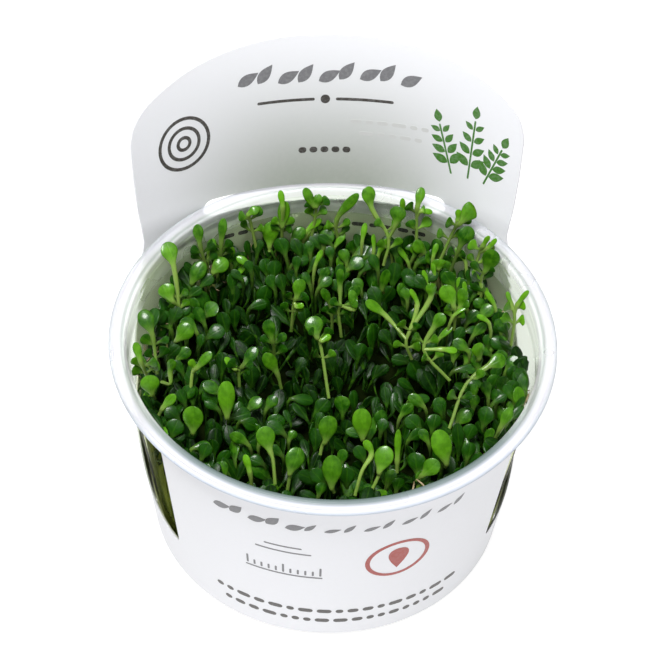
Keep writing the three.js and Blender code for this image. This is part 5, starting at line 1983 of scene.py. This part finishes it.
    def crowd(self) -> None:
        """Makes the small leaves that the photograph shows one by one, and those that fill its patches."""
        draw = random.Random(self.seed + 5)
        leaves = []
        for seen in CROWD + [leaf for patch in PATCHES for leaf in patch.leaves(draw)]:
            middle = self.view.on_bed(self.bed, seen.across, seen.down, seen.rise)
            c, s = slant(seen.lean)
            upright = Vector((0, 0.42, 0.91)) * c + Vector((1, 0, 0)) * s
            tip = middle + upright * seen.length * 0.5
            base = middle - upright * seen.length * 0.5
            drop = Vector((-0.5 * s + draw.uniform(-0.8, 0.8), draw.uniform(-0.8, 0.4), -self.foot_drop))
            foot = base + drop * (1 + max(seen.rise, 0.0) / self.foot_drop)
            line = [self.kept_in(p) for p in (foot, base, tip)]
            facing = (draw.uniform(-0.3, 0.3), -0.66 + draw.uniform(-0.25, 0.3), 0.75)
            leaves.append(Leaf(line, seen.width, seen.tone, draw.uniform(-0.12, 0.04), draw.uniform(-12, 12),
                               0.38, facing, thickness=0.42, dome=draw.uniform(0.0, 0.2), blade_steps=10))
        mesh = self.greenhouse.grow("mat_crowd", leaves, 12)
        settle(object_from("mat_crowd", mesh, LEAF), "leaf", "plant_mat")

    def kept_in(self, point: Vector) -> Point:
        """Returns a point, moved in to the room inside the cup where it was outside."""
        room = self.bed.room(point.z) - self.crowd_inset
        reach = math.hypot(point.x, point.y)
        share = min(1.0, room / reach) if reach else 1.0
        return (point.x * share, point.y * share, point.z)

    def build(self) -> None:
        """Makes every part of the mat."""
        bed = self.bed
        self.heart()
        top = bed.surface("bed_top", bed.room(44) - 1.2, self.leaf_depth)
        self.strew(self.top_leaves, top, self.small_leaves())
        self.strew(self.side_leaves, bed.band("side_band", 1.6, 37.0, 3.0), self.small_leaves())
        self.crowd()
        low = bed.bottom + 0.5
        self.strew(self.stems, bed.band("stem_band", -0.1, low, -15.0), self.threads(self.stem))
        self.strew(self.roots, bed.band("root_band", 1.0, 36.0, 0.5), self.threads(self.root))


@dataclass(frozen=True)
class Shoot:
    """A shoot's foot, the crown where its leaves part, and each leaf's base, tip and width."""

    foot: Flat
    crown: Point | None
    leaves: list[tuple[Point, Point, float]]


SHOOTS = {
    "left": [
        Shoot((-34.5, 19), (-34.5, 19, 47), [((-35.5, 23, 56), (-37, 26.5, 60.5), 4), ((-36, 18.5, 49.5),
              (-38, 20, 53), 4.2)]),
        Shoot((-39.5, 0), (-40, 4, 49), [((-40.5, 5.5, 52.5), (-42.5, 8.5, 57), 3.8)]),
        Shoot((-41.5, -1.5), None, [((-43, -2.5, 52.5), (-44, -1, 57), 2)]),
        Shoot((-32, -5.5), (-31.5, -4, 50), [((-31, -3.5, 51), (-32, -4, 54), 1.8), ((-30.5, -4, 51.5),
              (-27.5, -3, 55.5), 2.2)]),
        Shoot((-38.5, -2.5), (-36.5, -4.5, 47), [((-36.5, -3, 49), (-36, -3, 53), 2.2)]),
        Shoot((-35.5, 10), None, [((-35, 8, 47.5), (-32, 8.5, 51.5), 4.2)]),
        Shoot((-40, -8), None, [((-40.5, -9.5, 49.5), (-41, -9.5, 54.5), 4.4)]),
    ],
    "back": [
        Shoot((-28, 32), None, [((-29.5, 32, 54), (-30, 33, 59), 2.6)]),
        Shoot((-24.5, 34.5), None, [((-24.5, 34.5, 52), (-24, 36, 58), 2.2)]),
        Shoot((-16, 39.5), (-17.5, 40, 53), [((-18, 39.5, 56), (-16, 39.5, 58), 2.2)]),
        Shoot((-10, 40.5), (-10, 40, 51), [((-10, 39.5, 52), (-9.5, 40.5, 59), 3), ((-10, 39.5, 58.5),
              (-10.5, 40.5, 62.5), 1.6)]),
        Shoot((-3, 41.5), (-2, 42, 55.5), [((-2.5, 41.5, 56.5), (-4.5, 42, 61.5), 2.4), ((-2, 41.5, 56.5),
              (-1.5, 42, 59.5), 2.2)]),
        Shoot((-7, 40), None, [((-7.5, 39.5, 46), (-5, 40.5, 50), 3.2)]),
        Shoot((-13, 38.5), None, [((-13, 39, 45), (-12.5, 40, 52), 4)]),
        Shoot((-31, 27), None, [((-31.5, 26.5, 46.5), (-29, 28, 51.5), 3.8)]),
        Shoot((-25.5, 30), None, [((-26.5, 29.5, 45), (-23.5, 30.5, 50), 3.8)]),
        Shoot((3.5, 41.5), None, [((3, 41.5, 52), (7.5, 41.5, 60), 2.4)]),
        Shoot((14, 34), (15, 36, 51), [((11, 40, 57), (10, 42, 62), 3.4), ((16.5, 37, 54.5), (17, 38, 59),
              4), ((18, 38.5, 56), (18, 39, 61), 1.4)]),
        Shoot((22, 36.5), (21.5, 38, 56), [((21.5, 38, 59.5), (22.5, 40, 63.5), 2.3), ((22.5, 37.5, 58.5),
              (25, 37, 58.5), 1.4)]),
        Shoot((27, 32), (30, 33, 57), [((31, 31.5, 60.5), (34.5, 32.5, 65.5), 4.2), ((30.5, 33, 60), (30.5,
              33, 63), 1.6)]),
        Shoot((29.5, 29.5), None, [((31, 29, 55), (33, 29.5, 60), 4.2)]),
        Shoot((34, 25.5), (35.5, 27.5, 54.5), [((36, 26.5, 58), (37, 26, 61.5), 1.3), ((37, 25.5, 58),
              (38.5, 25, 61.5), 1.2)]),
        Shoot((35.5, 22), (36, 23, 52), [((36.5, 23, 53), (38, 23, 59.5), 4.2)]),
        Shoot((22.5, 35), None, [((23.5, 35, 46), (21.5, 34, 51), 3.2)]),
        Shoot((26.5, 29.5), None, [((26.5, 29, 45.5), (26.5, 29, 50.5), 3.4)]),
    ],
    "right": [
        Shoot((42, 8.5), (42, 9.5, 53), [((41, 10.5, 55.5), (40, 10.5, 59), 1.3), ((42.5, 10, 55.5), (44.5,
              10, 60), 1.3)]),
        Shoot((18.5, 4), (17, 4.5, 50.5), [((22.5, 10.5, 57.5), (22.5, 11, 61.5), 2.6), ((19.5, 9.5, 56.5),
              (18, 10.5, 60.5), 1.3), ((12.5, 9.5, 53), (8, 10.5, 57), 2.4)]),
        Shoot((26.5, -4), (20.5, 0, 52), [((22.5, 2.5, 56), (24.5, 3, 60), 3), ((24.5, -0.5, 52.5), (28, -1,
              52.5), 1.6)]),
        Shoot((25, -19.5), (29, -12, 54), [((33.5, -9.5, 56.5), (37.5, -8.5, 58.5), 3.6)]),
        Shoot((29, 13), (29, 13.5, 49.5), [((28.5, 13.5, 51.5), (26, 15, 56.5), 4), ((30, 14, 50.5), (30.5,
              14.5, 55.5), 2.8)]),
        Shoot((33, 2), None, [((33.5, 1, 47.5), (33, 1, 52), 3.2)]),
    ],
    "middle": [
        Shoot((-8.5, 16.5), (-8, 17, 50), [((-7.5, 17, 51.5), (-6.5, 18, 56), 3.2), ((-7.5, 16, 49.5), (-6,
              15.5, 50.5), 1.4)]),
        Shoot((-1, -7.5), (-3, 1.5, 54), [((-3.5, 1.5, 55), (-4.5, 4, 59), 4.3), ((-2.5, 0.5, 55), (-0.5, 1,
              56), 1.6)]),
        Shoot((-13, 6), (-13, 5.5, 47.5), [((-13.5, 5.5, 50), (-14.5, 6.5, 55), 3), ((-12.5, 6, 48.5),
              (-10.5, 5.5, 51.5), 2.2)]),
        Shoot((-11.5, -2.5), None, [((-12.5, -2, 47), (-15, -2, 53), 3.2)]),
        Shoot((3, 14), (2.5, 15, 50.5), [((5.5, 13.5, 51), (5, 15, 55.5), 2.2), ((2.5, 17.5, 53.5), (2.5,
              19, 58.5), 2)]),
        Shoot((1, 16.5), None, [((0.5, 17, 48.5), (-1.5, 17.5, 53.5), 2)]),
        Shoot((-21, -3.5), (-21, -2.5, 49), [((-20, -2.5, 50.5), (-17.5, -1, 54.5), 2.8), ((-22, -3, 50),
              (-24, -2.5, 53), 1.6)]),
        Shoot((13.5, 25.5), None, [((13, 25, 45), (14, 25.5, 51), 2.4)]),
    ],
    "front": [
        Shoot((-31.5, -19.5), None, [((-31.5, -20, 48.5), (-31.5, -18.5, 55), 4.7)]),
        Shoot((-24, -14.5), None, [((-24, -15, 47.5), (-24, -12.5, 56), 4)]),
        Shoot((-39, -14), None, [((-38, -14.5, 50.5), (-35.5, -14.5, 54.5), 2.2)]),
        Shoot((-19, -36.5), None, [((-19.5, -36, 54.5), (-20.5, -35, 58.5), 1.7)]),
        Shoot((-14, -35), (-14.5, -32, 54), [((-15, -31, 55), (-16.5, -28.5, 60), 4.2)]),
        Shoot((-11.5, -38), (-11, -37, 54), [((-11, -37, 55), (-9, -35, 60), 4.3)]),
        Shoot((-4, -28), (-3.5, -27, 52), [((-3, -27, 53), (-2, -25.5, 59), 4.3)]),
        Shoot((-1.5, -38), None, [((-2, -38, 51), (-2, -36, 58.5), 4.4)]),
        Shoot((3, -39), (4.5, -36.5, 55), [((6.5, -34, 57), (5, -33, 60.5), 1.9)]),
        Shoot((6, -39.5), (8, -37.5, 54.5), [((8, -37.5, 55.5), (9.5, -35, 60.5), 4.2)]),
        Shoot((5.5, -23), None, [((5.5, -23.5, 49), (5, -22, 57), 4.4)]),
        Shoot((23, -32), None, [((23, -32.5, 51.5), (21, -30.5, 59.5), 4.6)]),
        Shoot((16.5, -35.5), None, [((17.5, -36, 52), (20.5, -35.5, 56), 3.8)]),
        Shoot((34.5, -23.5), None, [((35.5, -24, 53), (37.5, -22.5, 57.5), 2.6)]),
        Shoot((12.5, -32), None, [((12.5, -31, 51), (12.5, -29, 59), 1.6)]),
    ],
}


@dataclass
class ShootRow:
    """The tall shoots, one piece for each."""

    bed: Bed
    greenhouse: Greenhouse
    seed: int = 23
    stalk: float = 0.5
    young_width: float = 2.0
    young_light: float = 0.32
    least_stalk: float = 1.2
    paired_from: float = 6.0
    pair_shares: Flat = (0.3, 0.62)
    tones: dict[str, float] = field(default_factory=lambda: {
        "left": 0.72, "back": 0.68, "right": 0.74, "middle": 0.62, "front": 0.72,
    })

    def raised(self, point: Point, low: Point) -> Point:
        """Returns a point, lifted to a least height above the shoot's foot."""
        return (point[0], point[1], max(point[2], low[2] + self.least_stalk))

    def paired(self, stem: list[Point], tone: float, draw: random.Random) -> list[Leaf]:
        """Returns small leaves in pairs that part from a tall stem.

        Args:
            stem: The stem's points from its foot up.
            tone: The shoot's tone.
            draw: The source of chance.

        Returns:
            The leaves, none on a short stem.
        """
        points = [Vector(p) for p in stem]
        made: list[Leaf] = []
        if (points[-1] - points[0]).length < self.paired_from:
            return made
        for share in self.pair_shares:
            fork = centripetal(points, share)
            for side in (-1, 1):
                apart = side * draw.uniform(0.6, 1.2)
                base = fork + Vector((apart, draw.uniform(-0.5, 0.5), draw.uniform(0.6, 1.2)))
                apart = side * draw.uniform(0.8, 2.2)
                tip = base + Vector((apart, draw.uniform(-1.4, 0.4), draw.uniform(1.6, 2.8)))
                width = draw.uniform(1.9, 2.9)
                shade = clamp(tone + draw.uniform(-0.3, 0.0), 0, 1)
                made.append(Leaf([tuple(fork), tuple(base), tuple(tip)], width, shade, -0.06,
                                 draw.uniform(-20, 20), self.stalk * 0.6, thickness=0.4, stalk_steps=2,
                                 blade_steps=8))
        return made

    def leaves(self, group: str, shoot: Shoot, draw: random.Random) -> list[Leaf]:
        """Returns a shoot's leaves, with slim young ones paler than the rest.

        Args:
            group: The group that the shoot stands in.
            shoot: The shoot.
            draw: The source of chance.

        Returns:
            The leaves, with small pairs below the first except in front.
        """
        x, y = shoot.foot
        low = (x, y, self.bed.height(x, y) + self.bed.foot_gap + self.stalk)
        fork = [self.raised(shoot.crown, low)] if shoot.crown else []
        made = []
        for i, (base, tip, width) in enumerate(shoot.leaves):
            start = fork if i > 0 and fork else [low, *fork]
            base = self.raised(base, low)
            young = self.young_light if width < self.young_width else 0.0
            tone = clamp(self.tones[group] + young + draw.uniform(-0.12, 0.12), 0.0, 1.0)
            made.append(Leaf([*start, base, tip], width, tone, draw.uniform(-0.11, 0.02),
                             draw.uniform(-14, 14), self.stalk, dome=draw.uniform(0.12, 0.36)))
            if i == 0 and group != "front":
                made += self.paired([*start, base], tone, draw)
        return made

    def build(self) -> None:
        """Makes every shoot."""
        draw = random.Random(self.seed)
        for group, shoots in SHOOTS.items():
            for number, shoot in enumerate(shoots, 1):
                node = f"{group}_{number}"
                name = "shoot_" + node
                mesh = self.greenhouse.grow(name, self.leaves(group, shoot, draw))
                settle(object_from(name, mesh, LEAF), "leaf", node)


@dataclass
class NutrientGel:
    """The gel in the foot of the cup, drawn up a little at the wall."""

    bed: Bed
    top: float = 13.6

    def build(self, former: TurnedForm) -> None:
        """Makes the gel."""
        low = self.bed.cup.base_thickness + 0.3
        radius = self.bed.cup.base_radius
        profile = rounded([
            (0, low, 0),
            (radius - 1.2, low, 1.0),
            (self.bed.room(low + 2.2), low + 2.2, 1.2),
            (self.bed.room(self.top), self.top, 0.15),
            (self.bed.room(self.top) - 0.5, self.top - 0.1, 0.2),
            (self.bed.room(self.top) - 2.2, self.top - 0.75, 0.8),
            (0, self.top - 0.8, 0),
        ])
        mesh = former.turn("nutrient_gel_fill", profile, GEL, 128)
        smooth(mesh, 50.0)
        settle(object_from("nutrient_gel_fill", mesh, GEL), "clear_gel", "nutrient_gel")


@dataclass(frozen=True)
class Lamp:
    """A soft square light that faces the cup. Its place and side are in metres, its power in watts."""

    name: str
    place: Point
    side: float
    power: float
    mirrored: bool

    def hang(self, aim: Point) -> None:
        """Adds the light to the scene, turned towards a place."""
        data = bpy.data.lights.new(self.name, "AREA")
        data.size = self.side
        data.energy = self.power
        light = bpy.data.objects.new(self.name, data)
        light.location = self.place
        light.visible_glossy = self.mirrored
        light.rotation_mode = "QUATERNION"
        light.rotation_quaternion = (Vector(aim) - Vector(self.place)).to_track_quat("-Z", "Y")
        bpy.context.scene.collection.objects.link(light)


@dataclass
class Studio:
    """The floor, the lights and the surrounding brightness."""

    floor_radius: float = 1500.0
    floor_sides: int = 96
    world: float = 0.10
    aim: Point = (0, 0, 0.05)
    lamps: tuple[Lamp, ...] = (
        Lamp("overhead", (-0.14, -0.20, 0.85), 0.30, 9.5, True),
        Lamp("front_fill", (0.12, -0.75, 0.55), 0.6, 1.8, False),
    )

    def build(self) -> None:
        """Lays the floor and hangs the lights."""
        rim = [(self.floor_radius * c, self.floor_radius * s, 0.0) for c, s in directions(self.floor_sides)]
        floor = object_from("floor", mesh_from("floor", rim, [tuple(range(self.floor_sides))]), FLOOR)
        world = bpy.data.worlds.new("studio_air")
        world.use_nodes = True
        shade = world.node_tree.nodes["Background"]
        shade.inputs["Color"].default_value = (1.0, 1.0, 1.0, 1.0)
        shade.inputs["Strength"].default_value = self.world
        scene = bpy.context.scene
        scene.world = world
        scene.view_settings.view_transform = "Standard"
        for lamp in self.lamps:
            lamp.hang(self.aim)


def main() -> None:
    """Builds every sub-assembly in order."""
    logging.basicConfig(level=logging.INFO, format="%(message)s")
    view = StudioView()
    view.build()
    former = TurnedForm()
    cup = ClearCup()
    cup.build(former)
    card = CardSleeve(cup)
    card.build()
    CardPrint(card).build()
    bed = Bed(cup)
    NutrientGel(bed).build(former)
    greenhouse = Greenhouse()
    ShootRow(bed, greenhouse).build()
    PlantMat(bed, greenhouse, Scatter(), view).build()
    Studio().build()


if __name__ == "__main__":
    main()
